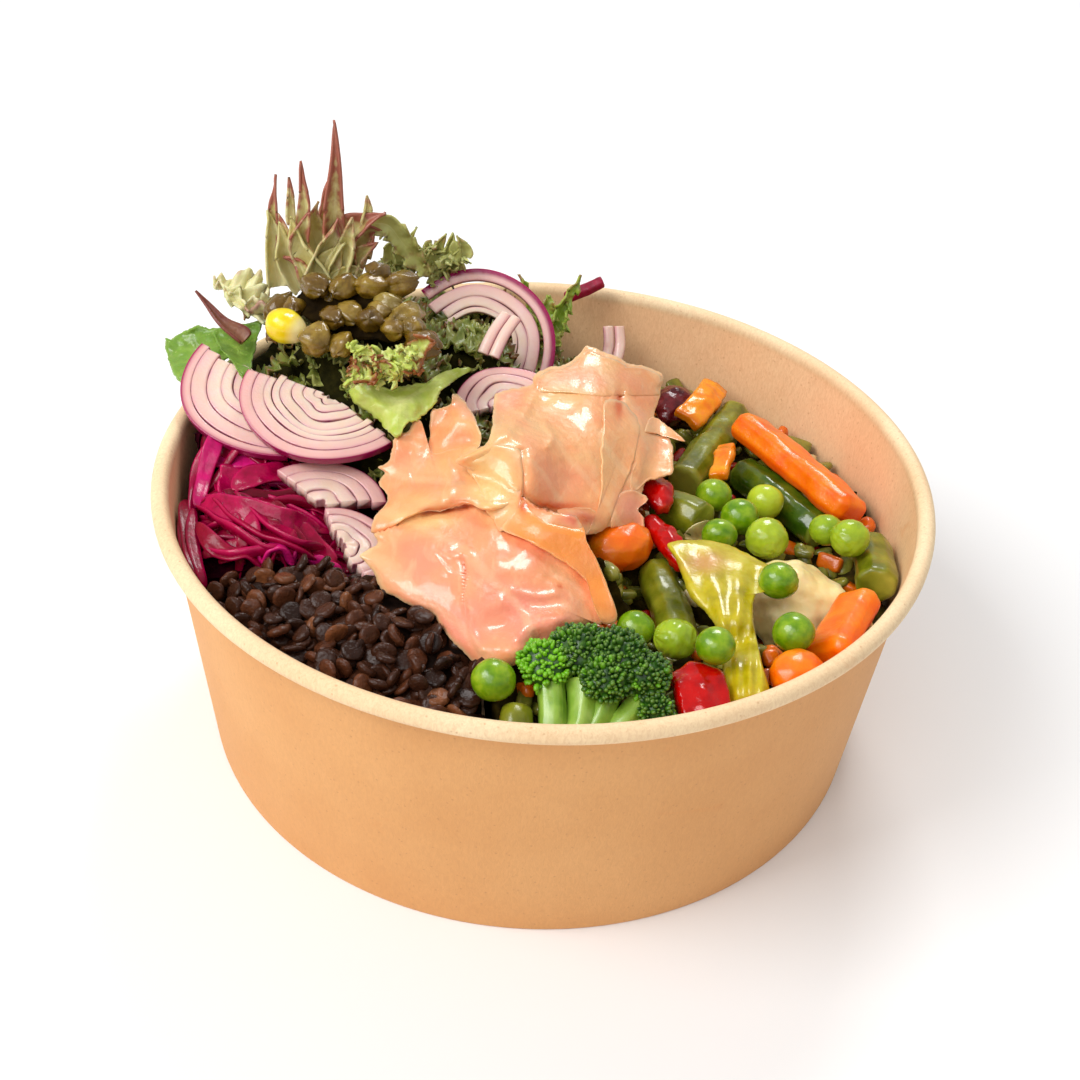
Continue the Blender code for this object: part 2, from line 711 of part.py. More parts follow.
def ease(points, faces, shifted, step, moved_with):
    """Moves the points of every face that cuts a solid, shifted by the gap, up or down until none does."""
    for _ in range(EASE_ROUNDS):
        tree = BVHTree.FromPolygons([Vector(p) for p in points], faces)
        cut = {pair[0] for other in placed for pair in tree.overlap(other[shifted])}
        moved = {linked for face in cut for k in faces[face] for linked in moved_with(k)}
        for k in moved:
            points[k] = inside_wall(points[k][0], points[k][1], points[k][2] + step)
        if not moved:
            return


def leaf(name, path, width, slot, ruffle=2.0, waves=3.0, roll=0.0, cup=0.2, lobes=0.15, stations=9, across=4):
    """A thin wavy leaf along a path: widest past its middle, cupped, and ruffled towards its edges."""
    across_cos, across_sin = math.cos(math.radians(roll)), math.sin(math.radians(roll))
    points = []
    for i, (here, side, above) in enumerate(frames_along(path, stations)):
        share = i / (stations - 1)
        side, above = side * across_cos + above * across_sin, above * across_cos - side * across_sin
        body = math.sin(math.pi * min(0.12 + 0.82 * share, 1.0) ** 0.8)
        half = width / 2 * body * (1 + lobes * math.sin(math.tau * waves * share * 1.5))
        for k in range(across + 1):
            v = 2 * k / across - 1
            wave = ruffle * abs(v) ** 1.5 * math.sin(math.tau * waves * share + (1.3 if v > 0 else 0.0))
            points.append(here + side * v * half + above * (cup * half * v * v + wave))
    faces = []
    row = across + 1
    for i in range(stations - 1):
        for k in range(across):
            a, b, c, d = i * row + k, i * row + k + 1, (i + 1) * row + k + 1, (i + 1) * row + k
            faces += [(a, b, c), (a, c, d)]
    obj = mesh_object(name, points, faces, slot)
    skin = obj.modifiers.new("skin", "SOLIDIFY")
    skin.thickness = LEAF_THICKNESS * MM
    skin.offset = 0.0
    return obj


def spike(name, base, tip, radius, slot="lettuce_red", bend=(0, 0, 0), sides=5, stations=5):
    """A pointed, rolled leaf tip."""
    middle = (Vector(base) + Vector(tip)) / 2 + Vector(bend)

    def section(share):
        r = radius * (1 - share) ** 0.75 * (1 + 0.25 * math.sin(math.pi * share)) + 0.18
        angles = (math.tau * k / sides for k in range(sides))
        return [(r * math.cos(a), 0.6 * r * math.sin(a)) for a in angles]

    return swept(name, frames_along([base, middle, tip], stations, Vector((0.2, 1, 0.1))), section, slot)


def lettuce_tuft():
    """The heart of lettuce that stands behind the capers: a knobbly base with rolled, pointed leaf tips."""
    core = blob("base", (-55, 47.5, 80), (9.5, 6.5, 11), "lettuce", 0, 0, 0.5, 6, 2)
    tips = (
        ((-51.4, 46, 88), (-50.2, 46, 116.3), 3.6, (0.8, 0, 0)),
        ((-62, 46, 82), (-63.8, 46, 102.5), 2.8, (-1, 0, 0)),
        ((-59, 46, 86), (-60.9, 46, 102.7), 2.0, (0.5, 0, 0)),
        ((-56, 46, 86), (-57.9, 46, 105.7), 2.6, (0.8, 0, 0)),
        ((-47, 47, 86), (-43.7, 46, 98), 2.4, (0, 0, 1)),
        ((-48, 47, 84), (-38, 46, 92), 2.8, (0, 0, 3)),
        ((-62, 46, 74), (-67, 46, 89), 2.8, (-2, 0, 0)),
        ((-48, 47, 80), (-40, 45, 86), 2.8, (0, 0, 2)),
        ((-56, 52, 80), (-55, 60, 94), 3.2, (0, 2, 0)),
        ((-61, 50, 78), (-67, 56, 90), 3.0, (0, 1, 2)),
    )
    pieces = [spike(f"tip_{k}", base, tip, r, bend=bend) for k, (base, tip, r, bend) in enumerate(tips)]
    return fuse("lettuce_tuft", core, pieces)


def low_leaves():
    """The leaves that lie under the onion on the left and hang over the rim."""
    over_the_rim = [(-64, 30, 65.8), (-74, 29, 65.8), (-83, 28, 65.6), (-90.5, 30, 65.6)]
    settle(leaf("leaf_left", over_the_rim, 21, "lettuce", 1.2, 2.5))
    settle(leaf("leaf_pale", [(-67.5, 40, 73.5), (-73, 41, 75), (-79, 44, 76.5)], 10, "lettuce", 2.0, 2.5))
    settle(spike("leaf_red", (-70, 27, 72), (-81, 32.5, 79.5), 2.6, bend=(0, 0, 1)))


def high_leaves():
    """The leaves behind the onion arch and by the rim."""
    settle(leaf("leaf_back", [(-37, 53, 82), (-30, 54, 85.5), (-22, 55, 86)], 15, "lettuce", 2.4, 3.0, -40))
    settle(leaf("leaf_right", [(-2, 60, 56), (-1, 64, 63), (-1, 67, 72)], 18, "lettuce", 2.4, 2.5, roll=8))


# Capers by place, with the half length and half width of each
CAPERS = (
    (-61.5, 30, 82.5, 3.9, 3.5), (-53, 28.5, 81.5, 3.9, 3.2), (-46, 34, 84.5, 3.2, 3.0),
    (-46.5, 28, 81.5, 3.8, 3.0), (-40.5, 28.5, 82, 3.9, 3.3), (-34.5, 30, 82.5, 3.8, 3.2),
    (-48, 21, 78, 4.2, 2.9), (-51, 15.5, 75, 3.8, 3.7), (-40, 20.5, 78, 3.8, 3.6), (-32, 22.5, 79, 4.4, 3.3),
    (-28, 16, 75.5, 4.0, 3.7), (-36.5, 25, 80, 3.4, 3.2), (-39.5, 32, 83.5, 3.4, 3.0),
    (-34.5, 19, 77, 3.2, 3.0), (-45.5, 14.5, 75, 3.2, 3.0),
)


def capers():
    """The capers: a heap on a low core that follows them down."""
    draw = random.Random(5)
    core = blob("core", (-44.5, 24, 77.5), (20, 8.5, 4.0), "caper", -22, 25, 0.1, 6, 1)
    pieces = []
    for k, (x, y, z, half_length, half_width) in enumerate(CAPERS):
        turn, tilt = draw.uniform(0, 180), draw.uniform(-25, 25)
        radii = (half_length, half_width, half_width)
        pieces.append(blob(f"caper_{k}", (x, y, z), radii, "caper", turn, tilt, 0.12, 3.0, 1))
    return fuse("capers", core, pieces)


def hub_of(sector):
    """The hub moved along the sector's middle, so that the heap's side walls clear the next heaps."""
    middle = math.radians(sum(sector) / 2)
    half = math.radians(sector[1] - sector[0]) / 2
    shift = GAP / math.sin(half)
    return HUB[0] + shift * math.cos(middle), HUB[1] + shift * math.sin(middle)


def reach(hub, angle, radius):
    """How far it is from the hub, at an angle, to a circle about the bowl's axis."""
    along_x, along_y = math.cos(angle), math.sin(angle)
    b = hub[0] * along_x + hub[1] * along_y
    c = hub[0] ** 2 + hub[1] ** 2 - radius**2
    return -b + math.sqrt(b * b - c)


def heap_core(name, sector, spokes, rings, slot, undersides, relief=0.8, relief_size=7.0):
    """A heap that fills its sector from the floor up, with toppings pressed into it or carried by it."""
    hub = hub_of(sector)
    tops = []

    def surface(x, y):
        z = bed_z(x, y) + relief * noise.noise(Vector((x, y, len(name))) / relief_size)
        underside = undersides(x, y)
        return underside - GAP if underside < z + SWELL else z

    for ring in range(rings + 1):
        for i in range(spokes + 1):
            angle = math.radians(sector[0] + (sector[1] - sector[0]) * i / spokes)
            radius = food_r(50.0)
            for _ in range(4):
                span = reach(hub, angle, radius) * ring / rings
                x, y = hub[0] + span * math.cos(angle), hub[1] + span * math.sin(angle)
                z = surface(x, y)
                radius = food_r(min(z, BOWL_H))
            tops.append(inside_wall(x, y, z))
            if ring == 0:
                break
    row = spokes + 1
    edge = [0, *(1 + ring * row for ring in range(rings))]
    edge += [1 + (rings - 1) * row + i for i in range(1, row)]
    edge += [1 + ring * row + spokes for ring in range(rings - 2, -1, -1)]
    floor_r, points, faces = food_r(HEAP_BOTTOM_Z), list(tops), []
    for k in edge:
        x, y, z = tops[k]
        shrink = floor_r / food_r(min(z, BOWL_H))
        points.append((x * shrink, y * shrink, HEAP_BOTTOM_Z))
    for i in range(spokes):
        faces.append((0, 1 + i, 2 + i))
        for ring in range(rings - 1):
            a = 1 + ring * row + i
            faces += [(a, a + row, a + row + 1), (a, a + row + 1, a + 1)]
    n = len(edge)
    first = len(tops)
    for k in range(n):
        here, after, below, below_after = edge[k], edge[(k + 1) % n], first + k, first + (k + 1) % n
        faces += [(here, after, below_after), (here, below_after, below)]
    ease(points, faces, "lowered", -EASE_STEP, lambda k: (k,) if k < first else ())
    faces.append(tuple(first + k for k in range(n)))
    return mesh_object(name, points, faces, slot)


def clear_of_toppings(centre, radius):
    """True if a ball there stays clear of the wall and of every topping."""
    if math.hypot(centre.x, centre.y) + radius > food_r(min(centre.z, BOWL_H)):
        return False
    for other in placed:
        low, high = other["low"] - radius, other["high"] + radius
        if any(not low[k] <= centre[k] <= high[k] for k in range(3)):
            continue
        if other["tree"].find_nearest(centre)[3] < radius + GAP or is_inside(centre, other["tree"]):
            return False
    return True


def top_of(tree, x, y):
    return tree.ray_cast(Vector((x, y, ABOVE_ALL)), -UP)[0]


def lattice(spacing, draw, jitter):
    """A jittered triangular lattice over the bowl."""
    reach_r = int(RIM_R / spacing) + 2
    for i in range(-reach_r, reach_r + 1):
        for j in range(-reach_r, reach_r + 1):
            x = (i + 0.5 * (j % 2)) * spacing + draw.uniform(-jitter, jitter)
            y = j * spacing * math.sqrt(3) / 2 + draw.uniform(-jitter, jitter)
            yield x, y


def in_sector(x, y, sector, margin):
    """True if the spot is in the sector, at least a margin from its sides."""
    hub = hub_of(sector)
    angle = math.degrees(math.atan2(y - hub[1], x - hub[0]))
    middle = (sector[0] + sector[1]) / 2
    off = (angle - middle + 180) % 360 - 180
    half = (sector[1] - sector[0]) / 2
    inside = math.radians(half - abs(off))
    far = math.hypot(x - hub[0], y - hub[1])
    return inside > 0 and (inside > math.pi / 2 or far * math.sin(inside) > margin)


def lentil(name, centre, radius, thickness, tilt_x, tilt_y):
    """A lens-shaped seed: two hexagons between two poles."""
    points = [(0, 0, -thickness / 2), (0, 0, thickness / 2)]
    shoulder_r, shoulder_z = 0.86 * radius, 0.32 * thickness
    for z in (-shoulder_z, shoulder_z):
        for k in range(6):
            angle = math.radians(60 * k)
            points.append((shoulder_r * math.cos(angle), shoulder_r * math.sin(angle), z))
    for k in range(6):
        angle = math.radians(60 * k + 30)
        points.append((radius * math.cos(angle), radius * math.sin(angle), 0))
    faces = []
    for k in range(6):
        after = (k + 1) % 6
        faces += [(0, 2 + k, 2 + after), (1, 8 + after, 8 + k)]
        faces += [(2 + k, 14 + k, 2 + after), (8 + k, 8 + after, 14 + k)]
        faces += [(2 + after, 14 + k, 14 + after), (8 + after, 14 + after, 14 + k)]
    obj = mesh_object(name, points, faces, "black_lentil")
    obj.data.transform(Matrix.Rotation(tilt_x, 4, "X") @ Matrix.Rotation(tilt_y, 4, "Y"))
    obj.location = Vector(centre) * MM
    return obj


def lentils(undersides):
    core = heap_core("lentils", LENTIL_SECTOR, 12, 9, "black_lentil", undersides, 1.0, 6.0)
    tree = BVHTree.FromPolygons(*solid_of(core))
    draw = random.Random(11)
    pieces = []
    for x, y in lattice(LENTIL_SPACING, draw, 1.1):
        if not in_sector(x, y, LENTIL_SECTOR, LENTIL_R + GAP):
            continue
        hit = top_of(tree, x, y)
        size = draw.uniform(0.85, 1.12)
        tilts = draw.uniform(-0.9, 0.9), draw.uniform(-0.9, 0.9)
        if hit is None:
            continue
        centre = hit + Vector((0, 0, draw.uniform(-0.2, 0.9)))
        if clear_of_toppings(centre, LENTIL_R * size):
            name = f"seed_{len(pieces)}"
            pieces.append(lentil(name, centre, LENTIL_R * size, LENTIL_THICKNESS * size, *tilts))
    return fuse("lentils", core, pieces)


def red_cabbage(undersides):
    """Pickled red cabbage: curved shreds on a low core, each laid over the last."""
    core = heap_core("red_cabbage", CABBAGE_SECTOR, 8, 8, "red_cabbage", undersides, 1.4, 9.0)
    tree = BVHTree.FromPolygons(*solid_of(core))
    draw = random.Random(23)
    pieces = []
    for x, y in lattice(7.0, draw, 2.5):
        heading = draw.uniform(-0.6, 0.9)
        length, bend, lift = draw.uniform(16, 30), draw.uniform(-0.7, 0.7), draw.uniform(0.4, 1.6)
        width = draw.uniform(2.6, 4.2)
        route = []
        for t in (-0.5, -0.25, 0.0, 0.25, 0.5):
            angle = heading + bend * t
            px, py = x + length * t * math.cos(angle), y + length * t * math.sin(angle)
            hit = top_of(tree, px, py)
            centre = hit + Vector((0, 0, lift)) if hit else None
            if centre and in_sector(px, py, CABBAGE_SECTOR, 2.6) and clear_of_toppings(centre, 2.0):
                route.append(centre)
        if len(route) >= 4:
            roll = draw.uniform(-50, 50)
            pieces.append(strip(f"shred_{len(pieces)}", route, width, 1.3, "red_cabbage", 6, roll, 0.5))
    return fuse("red_cabbage", core, pieces)


def centre_the_whole():
    """Moves every object sideways so that the origin lies under the middle of the whole."""
    points = np.array([p for obj in bpy.data.objects for p in solid_of(obj)[0]])
    middle = (points.min(0) + points.max(0)) / 2
    for obj in bpy.data.objects:
        obj.location.x -= middle[0] * MM
        obj.location.y -= middle[1] * MM


def main():
    clear_scene()
    dish = bowl()
    remember(dish)
    vegetables()
    peas()
    low_leaves()
    onions()
    settle(leaf("leaf_front", [(-37, 16, 73.5), (-33.5, 9.5, 71.5), (-30, 2.5, 67.5)], 19, "lettuce"))
    for name in SALMON:
        salmon_slice(name)
    fold = [(-5, -26, 66.5), (2, -30, 66.5), (8, -33, 64), (12, -38, 60.5), (14, -43, 56.5)]
    settle(strip("salmon_fold", fold, 10, 2.2, "salmon", stations=8, roll=-24, taper=0.5, cup=0.8))
    settle(lettuce_tuft())
    high_leaves()
    settle(capers())
    settle(blob("corn_kernel", (-58.0, 19.0, 80.4), (4.8, 3.6, 4.0), "sweetcorn", -25, 20, 0.1, 6, 1))
    settle(rod("beet_strip_top", [(2.5, 73, 63), (7, 74, 65), (11.5, 75.5, 67)], 1.7, "beetroot", sides=6))
    placed.pop(0)
    undersides = height_map(lowest_over, CARRY_SPREAD, np.minimum, ABOVE_ALL)
    lentils(undersides)
    red_cabbage(undersides)
    heap_core("salad_bed", SALAD_SECTOR, 14, 9, "lettuce", undersides, 2.4, 5.0)
    heap_core("vegetable_bed", VEGETABLE_SECTOR, 22, 9, "vegetable_mix", undersides, 2.0, 5.0)
    for obj in bpy.data.objects:
        if obj != dish:
            smooth(obj)
    centre_the_whole()


main()
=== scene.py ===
"""The looks of the poke bowl: every food and the paper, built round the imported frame.

Lengths are in millimetres from the middle of the bowl's foot, and become metres where a mesh is made. Where a
form follows the photograph, its outline is given in pixels of the photograph and is laid on the solid there.
"""

import math
import random

import bpy
import numpy as np
from mathutils import Euler, Matrix, Vector, noise
from mathutils.bvhtree import BVHTree


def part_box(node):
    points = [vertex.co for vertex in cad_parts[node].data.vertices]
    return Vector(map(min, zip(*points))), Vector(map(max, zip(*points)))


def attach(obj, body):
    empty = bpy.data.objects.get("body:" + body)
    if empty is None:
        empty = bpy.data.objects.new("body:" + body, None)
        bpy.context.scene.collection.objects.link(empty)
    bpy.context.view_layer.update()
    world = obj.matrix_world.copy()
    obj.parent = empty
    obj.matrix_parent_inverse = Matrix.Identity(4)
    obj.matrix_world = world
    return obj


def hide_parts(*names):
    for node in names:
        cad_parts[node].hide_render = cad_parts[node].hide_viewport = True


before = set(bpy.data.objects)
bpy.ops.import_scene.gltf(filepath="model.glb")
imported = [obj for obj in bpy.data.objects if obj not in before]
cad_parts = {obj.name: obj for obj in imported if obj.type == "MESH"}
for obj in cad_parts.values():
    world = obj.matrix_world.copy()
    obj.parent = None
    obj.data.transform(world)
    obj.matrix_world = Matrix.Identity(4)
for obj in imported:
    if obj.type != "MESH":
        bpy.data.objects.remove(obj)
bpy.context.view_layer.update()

MM = 0.001
bowl_low, bowl_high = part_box("bowl")
AXIS = np.array(((bowl_low.x + bowl_high.x) / 2 / MM, (bowl_low.y + bowl_high.y) / 2 / MM, 0.0))
DOWN = Vector((0, 0, -1))
ABOVE_ALL = 200.0

# The bowl's real sizes
RIM_R = 82.5
BOWL_H = 63.0
BEAD_R = 1.8
WALL_TOP_R = 79.4
BASE_R = 74.2
WALL = 0.6
SKIRT = 1.2
FLOOR_UNDER_Z = 6.0
FLOOR = 0.8

# The camera that took the photograph: place, right, up and forward, and its focal length in pixels
EYE = np.array((-0.22, -258.9, 238.1))
RIGHT = np.array((0.99803, 0.03799, 0.04995))
UPWARD = np.array((-0.06276, 0.60411, 0.79442))
FORWARD = np.array((0.0, 0.79599, -0.60531))
LENS = 48.69
SENSOR = 36.0
PHOTO_SIDE = 1080
FOCAL_PX = PHOTO_SIDE * LENS / SENSOR

# Distances from the camera at which a surface is looked for beside its edge
SEARCHED = np.linspace(270.0, 400.0, 53)


# Reading the frame


def cad(node):
    """The node's points in millimetres and its triangles."""
    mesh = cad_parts[node].data
    flat = np.empty(len(mesh.vertices) * 3)
    mesh.vertices.foreach_get("co", flat)
    mesh.calc_loop_triangles()
    triangles = np.empty(len(mesh.loop_triangles) * 3, int)
    mesh.loop_triangles.foreach_get("vertices", triangles)
    return flat.reshape(-1, 3) / MM - AXIS, triangles.reshape(-1, 3)


def search_tree(shapes):
    """One tree, for rays and distances, of several shapes, each given as points and faces."""
    points, faces, count = [], [], 0
    for here, here_faces in shapes:
        points.append(here)
        faces += [tuple(int(k) + count for k in face) for face in here_faces]
        count += len(here)
    return BVHTree.FromPolygons(np.vstack(points).tolist(), faces)


def tree_of(*nodes):
    """One tree of several nodes' solids."""
    return search_tree([cad(node) for node in nodes])


def others_than(*left_out):
    """One tree of all nodes but these."""
    return tree_of(*(node for node in sorted(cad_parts) if node not in left_out))


def box_of(node):
    points = cad(node)[0]
    return points.min(0), points.max(0)


def wall_r(z):
    """The outer radius of the bowl's wall at a height."""
    return BASE_R + (WALL_TOP_R - BASE_R) * z / (BOWL_H - 2 * BEAD_R)


def inside_wall(point, room):
    """Whether a point keeps this much room from the bowl's wall."""
    return math.hypot(point[0], point[1]) + room < wall_r(min(point[2], BOWL_H)) - WALL


def from_above(tree, x, y):
    """Where a surface is met from above, and its normal there; None for both beside it."""
    return tree.ray_cast(Vector((x, y, ABOVE_ALL)), DOWN)[:2]


# Reading the photograph


def sight(px, py):
    """The way that the photograph looks at this pixel."""
    way = FORWARD + RIGHT * (px - PHOTO_SIDE / 2) / FOCAL_PX + UPWARD * (PHOTO_SIDE / 2 - py) / FOCAL_PX
    return way / np.linalg.norm(way)


def at_depth(px, py, y):
    """The point of an upright plane, across the view, that the photograph shows at this pixel."""
    way = sight(px, py)
    return EYE + way * (y - EYE[1]) / way[1]


def pixels_of(points):
    """Where the photograph shows these points."""
    away = points - EYE
    depth = away @ FORWARD
    return np.stack((PHOTO_SIDE / 2 + FOCAL_PX * (away @ RIGHT) / depth,
                     PHOTO_SIDE / 2 - FOCAL_PX * (away @ UPWARD) / depth), -1)


def seen(px, py, tree):
    """The point of a surface that the photograph shows at this pixel."""
    hit = tree.ray_cast(Vector(EYE), Vector(sight(px, py)))[0]
    return None if hit is None else np.array(hit)


def depth_of(px, py, tree):
    """How far away a surface is seen at this pixel or, beside it, how far its nearest part is."""
    way = sight(px, py)
    hit = tree.ray_cast(Vector(EYE), Vector(way))[3]
    if hit is not None:
        return hit
    gaps = [tree.find_nearest(Vector(EYE + way * t))[3] for t in SEARCHED]
    return SEARCHED[np.argmin(gaps)]


def depths_of(pixels, tree, rounds, step=3.0):
    """How far away a surface is seen at these pixels, evened out over a few of them."""
    low = pixels.reshape(-1, 2).min(0) - 2 * step
    across, down = np.ceil((pixels.reshape(-1, 2).max(0) - low) / step).astype(int) + 2
    grid = np.array([[depth_of(low[0] + i * step, low[1] + j * step, tree) for i in range(across)]
                     for j in range(down)])
    for _ in range(rounds):
        wide = np.pad(grid, 1, mode="edge")
        grid = (4 * grid + wide[:-2, 1:-1] + wide[2:, 1:-1] + wide[1:-1, :-2] + wide[1:-1, 2:]) / 8
    place = (pixels - low) / step
    corner = place.astype(int)
    x, y = (place - corner)[..., 0], (place - corner)[..., 1]
    i, j = corner[..., 0], corner[..., 1]
    above = grid[j, i] * (1 - x) + grid[j, i + 1] * x
    below = grid[j + 1, i] * (1 - x) + grid[j + 1, i + 1] * x
    return above * (1 - y) + below * y


# Shapes


def rough(points, size, seed=0.0):
    """Smooth noise, from -1 to 1, at each point."""
    shift = np.array((seed, seed * 1.7, -seed))
    return np.array([noise.noise(Vector(p)) for p in (np.asarray(points) / size + shift)])


def unit(vectors):
    return vectors / np.maximum(np.linalg.norm(vectors, axis=-1, keepdims=True), 1e-9)


def curve(path, count, closed=False):
    """Evenly shared points of a smooth curve through the given ones."""
    p = np.array(path, float)
    n = len(p) if closed else len(p) - 1
    at = np.arange(count) * n / count if closed else np.linspace(0, n, count)
    k = np.minimum(at.astype(int), n - 1)
    t = (at - k)[:, None]
    if closed:
        p0, p1, p2, p3 = (p[(k + o) % n] for o in (-1, 0, 1, 2))
    else:
        p0, p1, p2, p3 = (p[np.clip(k + o, 0, n)] for o in (-1, 0, 1, 2))
    square = (2 * p0 - 5 * p1 + 4 * p2 - p3) * t**2
    cube = (3 * p1 - p0 - 3 * p2 + p3) * t**3
    return 0.5 * (2 * p1 + (p2 - p0) * t + square + cube)


def frames(line, up=(0, 0, 1)):
    """(ahead, side, above) at each point of a line."""
    ahead = unit(np.gradient(line, axis=0))
    side = unit(np.cross(ahead, np.array(up, float)))
    return ahead, side, np.cross(side, ahead)


def grid_faces(rows, columns, closed):
    """Quads of a grid of points; closed joins the last column to the first."""
    a = np.arange(rows - 1)[:, None] * columns + np.arange(columns if closed else columns - 1)[None]
    k = a % columns
    b = a - k + (k + 1) % columns
    return np.stack((a, b, b + columns, a + columns), -1).reshape(-1, 4)


def angles_round(count):
    return np.arange(count) * math.tau / count


def turned(profile, steps):
    """Points and faces of a profile, from a top pole to a bottom pole, turned about z."""
    angles = angles_round(steps)
    rings = [np.stack((r * np.cos(angles), r * np.sin(angles), np.full(steps, z)), -1)
             for r, z in profile[1:-1]]
    points = np.vstack([[(0, 0, profile[0][1])], *rings, [(0, 0, profile[-1][1])]])
    k = np.arange(steps)
    after = (k + 1) % steps
    faces = [(0, 1 + a, 1 + b) for a, b in zip(k, after)]
    for i in range(len(rings) - 1):
        up, low = 1 + i * steps, 1 + (i + 1) * steps
        faces += [(up + a, low + a, low + b, up + b) for a, b in zip(k, after)]
    last, bottom = 1 + (len(rings) - 1) * steps, len(points) - 1
    faces += [(bottom, last + b, last + a) for a, b in zip(k, after)]
    return points, faces


def ball(steps=16, rings=10):
    """A round body of radius 1."""
    angles = np.linspace(0, math.pi, rings + 1)
    return turned([(math.sin(a), math.cos(a)) for a in angles], steps)


def leaned(across, above, angle):
    """The two measures of a section, turned by an angle."""
    c, s = np.cos(angle), np.sin(angle)
    return across * c - above * s, across * s + above * c


def sweep(line, section):
    """Points and faces of a closed sweep: section holds each station's outline as (side, above) pairs."""
    _, side, above = frames(line)
    points = line[:, None] + side[:, None] * section[..., :1] + above[:, None] * section[..., 1:]
    rows, columns = section.shape[:2]
    faces = [tuple(f) for f in grid_faces(rows, columns, True)]
    faces += [tuple(range(columns))[::-1], tuple(range((rows - 1) * columns, rows * columns))]
    return points.reshape(-1, 3), faces


def turn(x=0.0, y=0.0, z=0.0):
    """The rotation by these angles."""
    return np.array(Euler((x, y, z)).to_matrix())


def tip_to(normal):
    """The rotation that brings z to a normal."""
    return np.array(Vector(normal).to_track_quat("Z", "Y").to_matrix())


def along(points):
    """How far along its longest way each point lies, from -1 to 1."""
    off = points - points.mean(0)
    axis = np.linalg.svd(np.cov(off.T))[0][:, 0]
    share = off @ axis
    return share / np.abs(share).max()


def sheet(outline, middle, tree, lift=0.0, thick=1.6, spokes=200, rings=36, torn=1.2, lip=0.3, droop=0.6,
          rounds=20, relief=None, over=None, beneath=1.4):
    """A slab, outlined in pixels, that lies on a surface: points, faces and share of the way to its edge.

    Where another surface lies over it, the slab keeps beneath that one.
    """
    rim = curve([(*p, 0) for p in outline], spokes, closed=True)
    middle = np.array(middle, float)
    ragged = rough(rim, 11.0, 1.0) + 0.7 * rough(rim, 4.5, 2.0) + 0.6 * rough(rim, 2.2, 3.0)
    rim[:, :2] += unit(rim[:, :2] - middle) * (torn * ragged)[:, None]
    shares = np.linspace(0, 1, rings + 1)[1:] ** 0.85
    pixels = middle + (rim[None, :, :2] - middle) * shares[:, None, None]
    depth = depths_of(pixels, tree, rounds)
    ways = np.array([[sight(px, py) for px, py in row] for row in pixels])
    rise = np.full(depth.shape, float(lift))
    if relief is not None:
        flat = (EYE + ways * depth[..., None]).reshape(-1, 3)
        rise += relief(flat, pixels.reshape(-1, 2)).reshape(depth.shape) * (1 - shares[:, None] ** 12)
    wander = 0.6 + 0.9 * rough(rim, 30.0, 3.0)
    rise += lip * np.exp(-(((shares - 0.93) / 0.06) ** 2))[:, None] * wander[None]
    rise -= droop * shares[:, None] ** 14
    depth = depth - rise
    if over is not None:
        hidden = [[over.ray_cast(Vector(EYE), Vector(way))[3] or 0.0 for way in row] for row in ways]
        depth = np.maximum(depth, np.array(hidden) + beneath)
    under = depth + thick * (1 - 0.7 * shares[:, None] ** 9)
    upper = (EYE + ways * depth[..., None]).reshape(-1, 3)
    lower = (EYE + ways * under[..., None]).reshape(-1, 3)
    points = np.vstack((upper, lower, [upper[:spokes].mean(0), lower[:spokes].mean(0)]))
    half = rings * spokes
    skin = grid_faces(rings, spokes, True)
    faces = [tuple(f[::-1]) for f in skin] + [tuple(f + half) for f in skin]
    k = np.arange(spokes)
    after = (k + 1) % spokes
    last = (rings - 1) * spokes
    faces += [(2 * half, a, b) for a, b in zip(k, after)]
    faces += [(2 * half + 1, half + b, half + a) for a, b in zip(k, after)]
    faces += [(last + a, half + last + a, half + last + b, last + b) for a, b in zip(k, after)]
    return points, faces, np.concatenate([np.repeat(shares, spokes)] * 2 + [[0, 0]])


# Pieces


def placed(name, data):
    """An object with this data, in the scene."""
    obj = bpy.data.objects.new(name, data)
    bpy.context.scene.collection.objects.link(obj)
    return obj


def piece(name, points, faces, slot, look, *nodes, thick=0.0, **marks):
    """One smooth piece of the object, with its marks as attributes, that stands for the named nodes."""
    mesh = bpy.data.meshes.new(name)
    places = ((np.asarray(points) + AXIS) * MM).tolist()
    mesh.from_pydata(places, [], [tuple(int(k) for k in face) for face in faces])
    for mark, values in marks.items():
        mesh.attributes.new(mark, "FLOAT", "POINT").data.foreach_set("value", np.asarray(values, np.float32))
    mesh.shade_smooth()
    mesh.materials.append(look)
    obj = placed(name, mesh)
    if thick:
        skin = obj.modifiers.new("skin", "SOLIDIFY")
        skin.thickness = thick * MM
        skin.offset = 0.0
    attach(obj, "root")
    if nodes:
        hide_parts(*nodes)


class Pile:
    """Points, faces and marks of many things that become one piece."""

    def __init__(self):
        self.points, self.faces, self.marks, self.count = [], [], {}, 0

    def add(self, points, faces, **marks):
        self.points.append(np.asarray(points))
        self.faces += [tuple(int(k) + self.count for k in face) for face in faces]
        for name, values in marks.items():
            self.marks.setdefault(name, []).append(np.broadcast_to(values, len(points)))
        self.count += len(points)

    def piece(self, name, slot, look, *nodes, thick=0.0):
        marks = {mark: np.concatenate(values) for mark, values in self.marks.items()}
        piece(name, np.vstack(self.points), self.faces, slot, look, *nodes, thick=thick, **marks)


